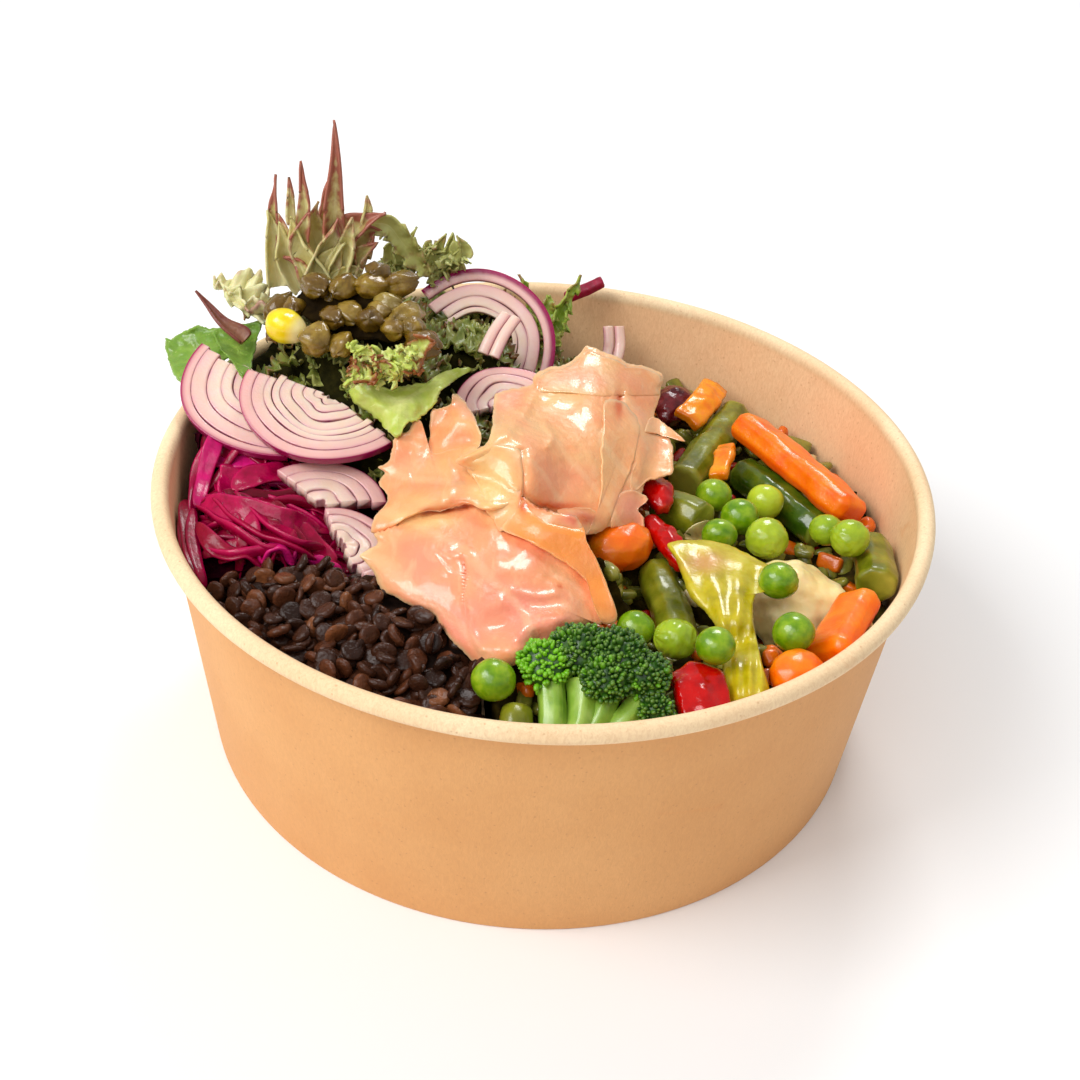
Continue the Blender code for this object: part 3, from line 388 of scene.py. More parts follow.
def rounded(node, voxel=0.5, rounds=5, swell=0.0, lumps=()):
    """A node's solid as (points, faces, normals), its corners softened and its skin uneven."""
    points, triangles = cad(node)
    mesh = bpy.data.meshes.new("soft")
    mesh.from_pydata(points.tolist(), [], triangles.tolist())
    obj = placed("soft", mesh)
    remesh = obj.modifiers.new("remesh", "REMESH")
    remesh.mode = "VOXEL"
    remesh.voxel_size = voxel
    soften = obj.modifiers.new("soften", "SMOOTH")
    soften.factor = 0.5
    soften.iterations = rounds
    bpy.context.view_layer.update()
    made = obj.evaluated_get(bpy.context.evaluated_depsgraph_get()).to_mesh()
    count = len(made.vertices)
    flat, normals = np.empty(count * 3), np.empty(count * 3, np.float32)
    made.vertices.foreach_get("co", flat)
    made.vertex_normals.foreach_get("vector", normals)
    faces = [tuple(p.vertices) for p in made.polygons]
    bpy.data.objects.remove(obj)
    points, normals = flat.reshape(-1, 3), normals.reshape(-1, 3)
    rise = np.full(count, float(swell))
    for size, depth in lumps:
        rise += depth * rough(points, size, size)
    return points + normals * rise[:, None], faces, normals


# Materials


def rgb(red, green, blue):
    """A colour given in the photograph's own 0 to 255 values, as linear light."""
    share = np.array((red, green, blue)) / 255
    linear = np.where(share <= 0.04045, share / 12.92, ((share + 0.055) / 1.055) ** 2.4)
    return (*(float(c) for c in linear), 1.0)


class Look:
    """A material under construction: short names for the nodes that foods and paper need."""

    def __init__(self, name, roughness=0.4, coat=0.0, coat_roughness=0.1, through=0.0, reach=1.5, ior=1.45):
        self.material = bpy.data.materials.new(name)
        self.material.use_nodes = True
        self.tree = self.material.node_tree
        self.shader = self.tree.nodes["Principled BSDF"]
        self.shader.inputs["Roughness"].default_value = roughness
        self.shader.inputs["Coat Weight"].default_value = coat
        self.shader.inputs["Coat Roughness"].default_value = coat_roughness
        self.shader.inputs["IOR"].default_value = ior
        self.shader.inputs["Subsurface Weight"].default_value = through
        self.shader.inputs["Subsurface Scale"].default_value = reach * MM
        self.shader.inputs["Subsurface Radius"].default_value = (1.0, 0.6, 0.4)
        self.place = self.tree.nodes.new("ShaderNodeTexCoord").outputs["Object"]
        self.normal = None

    def node(self, kind, **settings):
        made = self.tree.nodes.new("ShaderNode" + kind)
        for key, value in settings.items():
            setattr(made, key, value)
        return made

    def give(self, socket, value):
        """Sets an input from another node's output, a colour or a number."""
        if isinstance(value, bpy.types.NodeSocket):
            self.tree.links.new(value, socket)
        elif isinstance(value, tuple):
            socket.default_value = rgb(*value)
        else:
            socket.default_value = value

    def stretched(self, stretch):
        mapping = self.node("Mapping")
        mapping.inputs["Scale"].default_value = stretch
        self.give(mapping.inputs["Vector"], self.place)
        return mapping.outputs["Vector"]

    def noise(self, size, detail=4.0, stretch=None, twist=0.0):
        """Clouds whose features are size millimetres across."""
        made = self.node("TexNoise")
        self.give(made.inputs["Vector"], self.stretched(stretch) if stretch else self.place)
        made.inputs["Scale"].default_value = 1 / (size * MM)
        made.inputs["Detail"].default_value = detail
        made.inputs["Distortion"].default_value = twist
        return made.outputs["Fac"]

    def cells(self, size, feature="F1"):
        made = self.node("TexVoronoi", feature=feature)
        self.give(made.inputs["Vector"], self.place)
        made.inputs["Scale"].default_value = 1 / (size * MM)
        return made.outputs["Distance"]

    def bands(self, size, twist):
        """Slanting stripes, wavy by the twist."""
        made = self.node("TexWave", bands_direction="DIAGONAL")
        self.give(made.inputs["Vector"], self.place)
        made.inputs["Scale"].default_value = 0.3 / (size * MM)
        made.inputs["Distortion"].default_value = twist
        made.inputs["Detail"].default_value = 2.0
        made.inputs["Detail Scale"].default_value = 0.6
        return made.outputs["Fac"]

    def mark(self, name):
        return self.node("Attribute", attribute_name=name).outputs["Fac"]

    def span(self, value, low, high, out_low=0.0, out_high=1.0):
        made = self.node("MapRange")
        self.give(made.inputs["Value"], value)
        for key, number in zip(("From Min", "From Max", "To Min", "To Max"), (low, high, out_low, out_high)):
            made.inputs[key].default_value = number
        return made.outputs["Result"]

    def count(self, operation, first, second):
        made = self.node("Math", operation=operation)
        self.give(made.inputs[0], first)
        self.give(made.inputs[1], second)
        return made.outputs[0]

    def ramp(self, value, *stops):
        made = self.node("ValToRGB")
        self.give(made.inputs["Fac"], value)
        elements = made.color_ramp.elements
        while len(elements) < len(stops):
            elements.new(0.5)
        for element, (place, colour) in zip(elements, stops):
            element.position = place
            element.color = rgb(*colour)
        return made.outputs["Color"]

    def mix(self, share, first, second):
        made = self.node("Mix", data_type="RGBA")
        self.give(made.inputs["Factor"], share)
        self.give(made.inputs[6], first)
        self.give(made.inputs[7], second)
        return made.outputs[2]

    def bump(self, height, depth):
        """Adds relief, depth millimetres deep where the height runs from 0 to 1."""
        made = self.node("Bump")
        made.inputs["Distance"].default_value = depth * MM
        self.give(made.inputs["Height"], height)
        if self.normal is not None:
            self.give(made.inputs["Normal"], self.normal)
        self.normal = made.outputs["Normal"]

    def done(self, colour):
        self.give(self.shader.inputs["Base Color"], colour)
        if self.normal is not None:
            self.give(self.shader.inputs["Normal"], self.normal)
        return self.material


def food(name, dark, middle, light, patch=4.0, fine=0.6, relief=0.06, roughness=0.32, coat=0.3, through=0.2,
         reach=1.5, marks=(), ior=1.45):
    """A cooked or fresh piece: cloudy colour, fine relief, and marks that bring in further colours."""
    look = Look(name, roughness=roughness, coat=coat, coat_roughness=0.12, through=through, reach=reach,
                ior=ior)
    colour = look.ramp(look.noise(patch, 4.0), (0.3, dark), (0.5, middle), (0.72, light))
    for mark, low, high, strength, other in marks:
        colour = look.mix(look.span(look.mark(mark), low, high, 0.0, strength), colour, other)
    look.bump(look.noise(fine, 3.0), relief)
    look.bump(look.noise(fine * 5, 2.0), relief * 2)
    return look.done(colour)


# The cores of the heaps are painted dark to stand for the shade in the gaps between their pieces.
def shade_core_look(name, dark, middle, light):
    """The dull underside of a heap, painted dark as the shade between its pieces, where alone it is seen."""
    return food(name, dark, middle, light, patch=2.5, fine=1.0, relief=0.3, roughness=0.8, coat=0.0,
                through=0.0, reach=1.0, ior=1.12)


def leaf_look(name, low, middle, tip, rib):
    """A leaf by how far along it and how near its edge a point lies: rib, blade and coloured tips."""
    look = Look(name, roughness=0.36, coat=0.15, coat_roughness=0.25, through=0.2, reach=0.8)
    blade = look.ramp(look.mark("along"), (0.0, low), (0.45, middle), (1.0, middle))
    patches = look.span(look.noise(3.0, 4.0), 0.4, 0.7, 0.0, 0.55)
    colour = look.mix(patches, blade, low)
    edge = look.count("ADD", look.mark("blush"), look.span(look.noise(2.2, 3.0), 0.3, 0.7, -0.35, 0.35))
    colour = look.mix(look.span(edge, 0.35, 0.85), colour, tip)
    colour = look.mix(look.span(look.mark("rib"), 0.55, 1.0, 0.0, 0.8), colour, rib)
    look.bump(look.cells(1.6, "DISTANCE_TO_EDGE"), 0.12)
    look.bump(look.noise(0.7, 3.0), 0.05)
    return look.done(colour)


# The bowl


def paper():
    """Brown paper: cloudy, with fine fibres and specks, a painted highlight on the rolled rim, and pinker
    inside, where it is also painted paler as light against the shade in the bowl.
    """
    look = Look("brown_paper", roughness=0.62, ior=1.4)
    clouds = look.ramp(look.noise(26, 5.0), (0.3, (222, 160, 98)), (0.7, (231, 172, 110)))
    # Inside, the paper is pinker in its own tone and also painted paler, as painted light against the shade
    # in the bowl.
    inside = look.ramp(look.noise(20, 4.0), (0.3, (250, 202, 154)), (0.7, (254, 214, 168)))
    colour = look.mix(look.mark("inside"), clouds, inside)
    # Painted highlight: the rolled rim is painted paler where light falls on it.
    colour = look.mix(look.mark("bead_highlight"), colour, (252, 226, 184))
    fibres = look.noise(0.55, 3.0, (1, 1, 0.35), 1.2)
    colour = look.mix(look.span(fibres, 0.35, 0.75, 0.0, 0.32), colour, (200, 140, 86))
    flecks = look.span(look.cells(1.9), 0.05, 0.16, 0.4, 0.0)
    colour = look.mix(flecks, colour, (184, 122, 74))
    stains = look.span(look.noise(15, 3.0, (1, 1, 1.6), 1.0), 0.66, 0.78, 0.0, 0.3)
    colour = look.mix(stains, colour, (226, 146, 76))
    look.bump(fibres, 0.05)
    look.bump(look.noise(0.18, 2.0), 0.02)
    return look.done(colour)


def bowl():
    """The rolled-rim paper bowl, turned finely: coated inside, a round bead, a crease under it and a foot.
    Its inside is painted paler as light, and its bead carries a painted highlight.
    """
    bead_r, bead_z = RIM_R - BEAD_R, BOWL_H - BEAD_R
    floor_z = FLOOR_UNDER_Z + FLOOR
    profile = [(0, floor_z), (30, floor_z), (60, floor_z), (wall_r(floor_z) - WALL - 1.2, floor_z),
               (wall_r(floor_z) - WALL - 0.2, floor_z + 0.5)]
    floor_end = len(profile)
    profile += [(wall_r(z) - WALL, z) for z in np.linspace(floor_z + 1.5, bead_z - 1.5, 24)]
    inner = len(profile)
    for k in range(19):
        angle = math.radians(180.0 - 285.0 * k / 18)
        profile.append((bead_r + BEAD_R * math.cos(angle), bead_z + BEAD_R * math.sin(angle)))
    bead_end = len(profile)
    profile += [(wall_r(z), z) for z in np.linspace(bead_z - 2.2, 0.8, 26)]
    wall_end = len(profile)
    profile += [(BASE_R - 0.05, 0.25), (BASE_R - 0.3, 0.0), (BASE_R - SKIRT + 0.2, 0.0),
                (BASE_R - SKIRT, 0.3)]
    profile += [(BASE_R - SKIRT, FLOOR_UNDER_Z), (40, FLOOR_UNDER_Z), (0, FLOOR_UNDER_Z)]
    steps = 240
    points, faces = turned(profile, steps)
    station = np.concatenate([[0], np.repeat(np.arange(1, len(profile) - 1), steps), [len(profile) - 1]])
    angles = np.arctan2(points[:, 1], points[:, 0])
    on_wall = (station >= floor_end) & (station < wall_end)
    seam_angle, seam_half_width = 62, 1.6
    seam = np.clip(1 - np.abs(np.degrees(angles) - seam_angle) / seam_half_width, 0, 1)
    seam = seam * on_wall * (station >= bead_end)
    waver = 0.10 * np.sin(3 * angles + 0.6) + 0.06 * np.sin(7 * angles)
    outward = unit(np.column_stack((points[:, :2], np.zeros(len(points)))))
    points = points + outward * ((waver * on_wall * points[:, 2] / BOWL_H) + 0.22 * seam)[:, None]
    # The bead's painted highlight: a mask of the rolled rim's stations, uneven along the rim.
    bead_highlight = ((station >= inner) & (station < bead_end)).astype(float)
    bead_highlight *= 0.85 + 0.25 * rough(points, 14.0)
    piece("bowl_paper", points, faces, "brown_paper", paper(), "bowl",
          inside=(station < inner).astype(float), bead_highlight=np.clip(bead_highlight, 0, 1))


# Heaps of small things


def lattice(spacing, draw, jitter):
    """Places over the whole bowl, seen from above, each moved a little by chance."""
    half = int(RIM_R / spacing) + 2
    for i in range(-half, half + 1):
        for j in range(-half, half + 1):
            x = (i + 0.5 * (j % 2)) * spacing + draw.uniform(-jitter, jitter)
            yield x, j * spacing * math.sqrt(3) / 2 + draw.uniform(-jitter, jitter)


def share_near(draw, middle, spread):
    """A chance share from 0 to 1, mostly near the middle one."""
    return min(1.0, max(0.0, draw.gauss(middle, spread)))


def heap(node, slot, look, voxel=1.3, rounds=8, swell=-0.8, lumps=((3.0, 0.4),)):
    """The heap's own core, a little lower than the node, as a piece and as a tree to lay things on."""
    points, faces, _ = rounded(node, voxel, rounds, swell, lumps)
    piece(f"{node}_core", points, faces, slot, look, node)
    return search_tree([(points, faces)])


def seed_look():
    """Cooked dark lentils, each of its own brown, wet."""
    look = Look("black_lentil", roughness=0.17, coat=0.06, coat_roughness=0.05, ior=1.3)
    tone = look.ramp(look.mark("tone"), (0.0, (40, 22, 14)), (0.5, (66, 36, 22)), (0.85, (98, 54, 32)),
                     (1.0, (128, 76, 44)))
    colour = look.mix(look.span(look.noise(1.2), 0.35, 0.7, 0.0, 0.5), tone, (40, 20, 13))
    look.bump(look.noise(0.45, 3.0), 0.16)
    look.bump(look.noise(1.3, 2.0), 0.24)
    return look.done(colour)


def lentils():
    """The heap of lentils: lens-shaped seeds in three loose layers over the core."""
    # The lentil core is painted dark as the shade between the seeds.
    dark = shade_core_look("lentil_shade_core", (16, 9, 6), (24, 14, 10), (34, 21, 15))
    core = heap("lentils", "black_lentil", dark, rounds=10)
    others = others_than("lentils")
    profile = [(0, 0.42), (0.42, 0.4), (0.74, 0.36), (0.9, 0.27), (1.0, 0.06), (1.0, -0.06), (0.9, -0.27),
               (0.42, -0.42), (0, -0.45)]
    lens, faces = turned(profile, 16)
    draw = random.Random(3)
    pile = Pile()
    for spacing, rise, lean in ((3.7, -0.1, 0.5), (4.1, 1.1, 0.8), (5.6, 2.3, 1.1)):
        for x, y in lattice(spacing, draw, 1.1):
            hit, normal = from_above(core, x, y)
            radius, thickness = draw.uniform(1.95, 2.5), draw.uniform(1.5, 2.3)
            tilt = turn(draw.gauss(0, lean), draw.gauss(0, lean), draw.uniform(0, 6.3))
            height, tone = draw.uniform(-0.3, 0.4), share_near(draw, 0.5, 0.24)
            bent, seed = draw.uniform(-0.12, 0.16), draw.uniform(0, 50)
            if hit is None or normal.z < 0.25:
                continue
            centre = np.array(hit + normal * (rise + height))
            if not inside_wall(centre, 1.6) or others.find_nearest(Vector(centre))[3] < 1.7:
                continue
            shape = lens * (radius, radius, thickness)
            shape[:, 2] += bent * shape[:, 0] ** 2 / radius
            shape = shape * (1 + 0.13 * rough(shape, 1.4, seed))[:, None]
            pile.add(shape @ (tip_to(normal) @ tilt).T + centre, faces, tone=tone)
    pile.piece("lentil_seeds", "black_lentil", seed_look(), "lentils")


# Shreds of cabbage that the photograph shows well: pixels along each, width in millimetres, and tone
CABBAGE_SHREDS = (
    (((212, 432), (206, 455), (198, 480), (190, 505), (184, 520)), 6.4, 0.95),
    (((222, 512), (230, 495), (238, 475), (252, 452)), 4.8, 0.8),
    (((178, 505), (195, 520), (225, 540), (262, 562), (282, 572)), 4.6, 0.6),
    (((200, 518), (235, 525), (275, 532), (312, 545), (326, 552)), 5.0, 0.75),
    (((172, 520), (177, 545), (188, 570), (200, 592)), 4.2, 0.6),
    (((205, 562), (230, 572), (265, 576), (300, 572), (335, 568)), 3.4, 0.7),
    (((236, 506), (262, 492), (285, 486), (300, 488)), 5.2, 0.7),
    (((190, 530), (215, 560), (245, 580), (280, 590)), 3.8, 0.45),
    (((250, 520), (275, 545), (300, 560), (330, 565)), 5.0, 0.65),
    (((298, 540), (315, 560), (330, 580), (345, 592)), 4.4, 0.6),
    (((215, 515), (250, 545), (290, 560), (318, 575)), 4.0, 0.5),
    (((182, 600), (200, 604), (205, 610), (208, 615)), 3.4, 0.95),
    (((262, 600), (275, 606), (292, 604), (300, 596)), 3.4, 1.0),
    (((312, 590), (325, 596), (335, 592), (340, 585)), 3.4, 1.0),
)

# Shreds that stand against the bowl's wall: pixels along each, width in millimetres, and tone
WALL_SHREDS = (
    (((220, 426), (212, 450), (204, 478), (197, 508)), 3.6, 0.95),
    (((205, 446), (199, 466), (194, 490), (190, 512)), 2.6, 0.8),
    (((186, 500), (186, 525), (190, 552), (199, 580)), 3.4, 0.5),
    (((194, 508), (191, 530), (195, 560), (206, 588)), 2.6, 0.65),
    (((183, 512), (183, 540), (192, 572), (206, 596)), 2.4, 0.35),
)


def cabbage_look():
    """Pickled shreds, each of its own magenta, darker in patches and brighter at their edges."""
    look = Look("red_cabbage", roughness=0.26, coat=0.12, coat_roughness=0.08, through=0.15, reach=1.0,
                ior=1.33)
    tone = look.ramp(look.mark("tone"), (0.0, (96, 0, 26)), (0.5, (158, 0, 50)), (0.85, (194, 4, 84)),
                     (1.0, (222, 28, 126)))
    colour = look.mix(look.span(look.noise(2.4, 4.0), 0.35, 0.75, 0.0, 0.6), tone, (100, 0, 22))
    colour = look.mix(look.span(look.mark("edge"), 0.7, 1.0, 0.0, 0.4), colour, (206, 20, 96))
    look.bump(look.noise(0.9, 3.0), 0.12)
    return look.done(colour)


def shred(pile, line, width, thick, draw, roll, tone):
    """A strip of leaf with round edges and tapered ends, laid along a line."""
    stations = len(line)
    share = np.linspace(0, 1, stations)
    around = angles_round(10)
    taper = (1 - np.abs(2 * share - 1) ** 5 * 0.75) * (1 + 0.12 * np.sin(share * 9 + draw.uniform(0, 6)))
    lean = roll + draw.uniform(-0.9, 0.9) * (share - 0.5)
    flat = np.stack((np.outer(taper, np.cos(around)) * width / 2,
                     np.outer(taper, np.sin(around)) * thick / 2), -1)
    flat[..., 1] += 0.22 * width * (flat[..., 0] / width * 2) ** 2
    points, faces = sweep(line, np.stack(leaned(flat[..., 0], flat[..., 1], lean[:, None]), -1))
    edge = np.tile(np.abs(np.cos(around)), stations)
    pile.add(points, faces, edge=edge, tone=tone)


def red_cabbage():
    """The heap of shreds: chance ones over the core, then those that the photograph shows well."""
    # The cabbage core is painted dark as the shade between the shreds.
    dark = shade_core_look("cabbage_core", (22, 0, 6), (38, 0, 12), (58, 0, 18))
    core = heap("red_cabbage", "red_cabbage", dark, swell=-2.6)
    others = others_than("red_cabbage")
    draw = random.Random(8)
    pile = Pile()

    def lay(spots, width, thick, rise, tone, clear=1.2):
        """A shred over the core through these spots, held clear of what lies around."""
        kept = []
        for x, y in spots:
            hit = from_above(core, x, y)[0]
            if hit is None:
                continue
            centre = np.array(hit) + (0, 0, rise)
            if inside_wall(centre, 0.4 + width * 0.45) and others.find_nearest(Vector(centre))[3] > clear:
                kept.append(centre)
        if len(kept) >= 4:
            line = curve(kept, 30)
            line[:, 2] += 0.9 * rough(line, 6.0, rise)
            line[1:-1] = (line[:-2] + line[1:-1] + line[2:]) / 3
            shred(pile, line, width, thick, draw, roll=draw.uniform(-1.1, 1.1), tone=tone)

    for rise in (0.2, 1.5, 2.9):
        for x, y in lattice(6.4, draw, 3.0):
            heading, bend = draw.gauss(-0.4, 0.5), draw.uniform(-1.1, 1.1)
            length, width = draw.uniform(16, 34), draw.uniform(1.6, 3.6)
            tone, lift = share_near(draw, 0.42, 0.25), draw.uniform(-0.6, 0.8)
            steps = np.linspace(-0.5, 0.5, 7)
            spots = [(x + length * t * math.cos(heading + bend * t),
                      y + length * t * math.sin(heading + bend * t)) for t in steps]
            lay(spots, width, draw.uniform(1.2, 1.9), rise + lift, tone)
    for pixels, width, tone in CABBAGE_SHREDS:
        found = [seen(px, py, core) for px, py in curve(pixels, 8)]
        lay([p[:2] for p in found if p is not None], width, 1.6, 4.2, tone, 0.9)
    ground = tree_of("red_cabbage", "bowl")
    for pixels, width, tone in WALL_SHREDS:
        line = [EYE + sight(px, py) * (depth_of(px, py, ground) - 2.4) for px, py in curve(pixels, 14)]
        line = [p for p in line if inside_wall(p, 0.6 + width / 3)]
        if len(line) < 5:
            continue
        line = curve(line, 30)
        for _ in range(12):
            line[1:-1] = (line[:-2] + line[1:-1] + line[2:]) / 3
        shred(pile, line, width, 1.4, draw, roll=0.3, tone=tone)
    pile.piece("cabbage_shreds", "red_cabbage", cabbage_look(), "red_cabbage")


# Onion


# Slices: middle, outer radius, number and width of the rings, first angle and sweep, tilt about x and y,
# thickness and how oval; then how far the outer skin reaches in, and the gap between it and the next ring
ONIONS = {
    "onion_left": ((-58.6, 14.5), 22, 5, 2.9, (150, 135), (24, 0), 2.2, 0.85, 0.2),
    "onion_middle": ((-47.5, 9.5), 19.3, 8, 2.3, (154, 172), (24, 0), 2.2, 0.85),
    "onion_low_end": ((-41.5, -21.5), 11, 4, 2.5, (-61, 178), (12, 10), 3.8, 0.85),
    "onion_low": ((-46.5, -12.5), 14, 4, 3.2, (12, 128), (14, 4), 3.0, 0.85),
    "onion_back": ((-9.5, 19), 11.5, 4, 2.6, (10, 200), (22, 0), 2.6, 0.85),
    "onion_arch": ((-18.5, 44), 19.3, 4, 2.6, (-25, 165), (52, 0), 2.4, 1.0, 0.5, 0.9),
}


def onion_look():
    """Pale pink flesh between thin purple skins, magenta on the outermost skin."""
    look = Look("red_onion", roughness=0.26, coat=0.25, coat_roughness=0.12, through=0.25, reach=1.6)
    across = look.mark("across")
    flesh = look.ramp(across, (0.0, (222, 160, 170)), (0.25, (242, 204, 194)), (0.8, (246, 222, 204)),
                      (1.0, (228, 184, 182)))
    flesh = look.mix(look.span(look.noise(3.2, 3.0), 0.35, 0.7, 0.0, 0.6), flesh, (242, 210, 180))
    flesh = look.mix(look.mark("blush"), flesh, (228, 146, 156))
    line = look.count("ADD", look.span(across, 0.0, 0.08, 1.0, 0.0), look.span(across, 0.95, 1.0, 0.0, 0.6))
    line = look.count("MULTIPLY", line, look.span(look.noise(2.0, 2.0), 0.3, 0.7, 0.35, 0.95))
    colour = look.mix(line, flesh, (140, 50, 92))
    colour = look.mix(look.mark("skin"), colour, (160, 14, 84))
    look.bump(look.noise(0.6, 3.0), 0.05)
    look.bump(look.noise(2.4, 2.0), 0.1)
    return look.done(colour)


def onion(name, look, seed, middle, radius, rings, ring_width, arc, tilt, thickness, oval, skin=0.06,
          gap=0.0):
    """Part of a slice: ring layers pressed together, each with its own width, height and purple skins."""
    draw = random.Random(seed)
    steps = 72
    angles = np.radians(arc[0] + arc[1] * np.linspace(0, 1, steps))
    shares = np.array((0.0, 0.01, 0.04, 0.12, 0.3, 0.6, 0.85, 0.96, 1.0, 1.0, 0.97, 0.5, 0.03, 0.0))
    levels = np.array((0.86, 0.95, 0.985, 1.0, 1.01, 1.01, 1.0, 0.98, 0.9, 0.15, 0.02, 0.0, 0.02, 0.2))
    pile = Pile()
    shared = 0.2 * np.sin(angles * 2.3 + seed) + 0.13 * np.sin(angles * 5.1 + 2 * seed)
    widths = np.array([draw.uniform(0.75, 1.3) for _ in range(rings)])
    widths *= ring_width * rings / widths.sum()
    for k in range(rings):
        outer = radius - widths[:k].sum() - gap * min(k, 1)
        depth = widths[k] - 0.05 - gap * (k == rings - 1)
        height = thickness * draw.uniform(0.88, 1.04)
        low = draw.uniform(0.0, 0.15)
        waver = shared * (1 + 0.25 * k) + 0.09 * np.sin(angles * draw.uniform(2, 4) + draw.uniform(0, 6))
        first, last = draw.randint(0, 3), steps - draw.randint(0, 3)
        r = outer - np.outer(np.ones(steps), shares * depth) + waver[:, None]
        x, y = r * np.cos(angles)[:, None], r * np.sin(angles)[:, None] * oval
        z = np.outer(np.ones(steps), low + levels * height) + 0.16 * np.sin(angles * 3 + k)[:, None]
        points = np.stack((x, y, z), -1)[first:last].reshape(-1, 3)
        rows = last - first
        faces = [tuple(f) for f in grid_faces(rows, len(shares), True)]
        faces += [tuple(range(len(shares)))[::-1],
                  tuple(range((rows - 1) * len(shares), rows * len(shares)))]
        outside = 1.0 if k == 0 else 0.0
        magenta = np.tile(np.where(shares < skin, 1.0,
                                   np.where(shares < skin + 0.1, 0.35, 0.0)) * outside, rows)
        pile.add(points, faces, across=np.tile(shares, rows), skin=magenta, blush=max(0.0, 0.5 - 0.22 * k))
    rotation = turn(x=math.radians(tilt[0])) @ turn(y=math.radians(tilt[1]))
    pile.points = [p @ rotation.T for p in pile.points]
    lowest = np.vstack(pile.points)[:, 2].min()
    offset = (*middle, box_of(name)[0][2] - lowest + 0.05)
    pile.points = [p + offset for p in pile.points]
    pile.piece(f"{name}_rings", "red_onion", look, name)


def onion_strip(name, path, width, thick, look, roll=0.0):
    """A straight piece of two layers side by side."""
    steps = 24
    pile = Pile()
    line = curve(path, steps)
    side = frames(line)[1]
    around = angles_round(12)
    across = np.tile(np.cos(around) * width * 0.25, (steps, 1))
    above = np.tile(np.sin(around) * thick / 2, (steps, 1))
    section = np.stack(leaned(across, above, math.radians(roll)), -1)
    for offset in (-0.26, 0.26):
        points, faces = sweep(line + side * offset * width, section)
        pile.add(points, faces, across=np.tile(np.abs((np.cos(around) + 1) / 2), steps), skin=0.0,
                 blush=0.15)
    lift = box_of(name)[0][2] - min(p[:, 2].min() for p in pile.points)
    pile.points = [p + (0, 0, lift) for p in pile.points]
    pile.piece(f"{name}_layers", "red_onion", look, name)


def onions():
    look = onion_look()
    for seed, (name, sizes) in enumerate(ONIONS.items(), 1):
        onion(name, look, seed, *sizes)
    onion_strip("onion_cross", [(-10, 37, 77), (-12.5, 33, 74.5), (-14.5, 29, 71)], 5.5, 1.8, look, 10)
    onion_strip("onion_strip", [(14.7, 63, 50), (15.5, 66, 54), (15, 69, 58)], 5.5, 1.8, look)


# Salmon


# Each slice: its middle and its outline in the photograph's pixels. The lower slice and the fold go on
# under the other two.
SLICES = {
    "salmon_left": (
        (440, 485),
        ((372, 533), (375, 516), (385, 505), (387, 495), (379, 483), (384, 473), (378, 467), (388, 462),
         (392, 448), (396, 436), (408, 431), (414, 420), (421, 421), (425, 434), (428, 447), (436, 453),
         (455, 448), (476, 446), (500, 448), (519, 457), (522, 481), (519, 500), (500, 509), (483, 510),
         (472, 505), (457, 506), (443, 511), (429, 511), (408, 518), (391, 528)),
    ),
    "salmon_upper": (
        (575, 440),
        ((456, 462), (472, 451), (486, 444), (492, 429), (493, 410), (496, 394), (512, 389), (531, 385),
         (534, 376), (548, 367), (564, 365), (580, 353), (587, 346), (601, 351), (622, 359), (628, 364),
         (645, 366), (663, 375), (661, 387), (659, 399), (655, 413), (657, 429), (654, 448), (649, 467),
         (645, 482), (641, 495), (639, 509), (634, 526), (620, 529), (608, 527), (597, 533), (587, 532),
         (578, 518), (561, 514), (540, 508), (522, 496), (505, 487), (481, 474)),
    ),
    "salmon_lower": (
        (490, 580),
        ((374, 531), (377, 544), (360, 555), (365, 562), (375, 575), (381, 590), (394, 596), (410, 605),
         (427, 610), (435, 617), (441, 626), (449, 638), (459, 647), (468, 657), (481, 666), (498, 669),
         (516, 665), (531, 658), (544, 649), (556, 641), (575, 635), (583, 626), (592, 622), (601, 624),
         (604, 608), (598, 580), (592, 562), (583, 544), (582, 528), (575, 512), (555, 498), (530, 488),
         (505, 482), (470, 482), (436, 488), (408, 502), (390, 516)),
    ),
}

FOLD = (
    (580, 552),
    ((503, 530), (508, 518), (515, 507), (527, 497), (546, 498), (565, 503), (579, 512), (584, 524),
        (587, 541), (598, 562), (608, 587), (617, 613), (614, 623), (604, 624), (597, 614), (591, 597),
        (586, 581), (569, 566), (557, 558), (542, 549), (523, 539)),
)

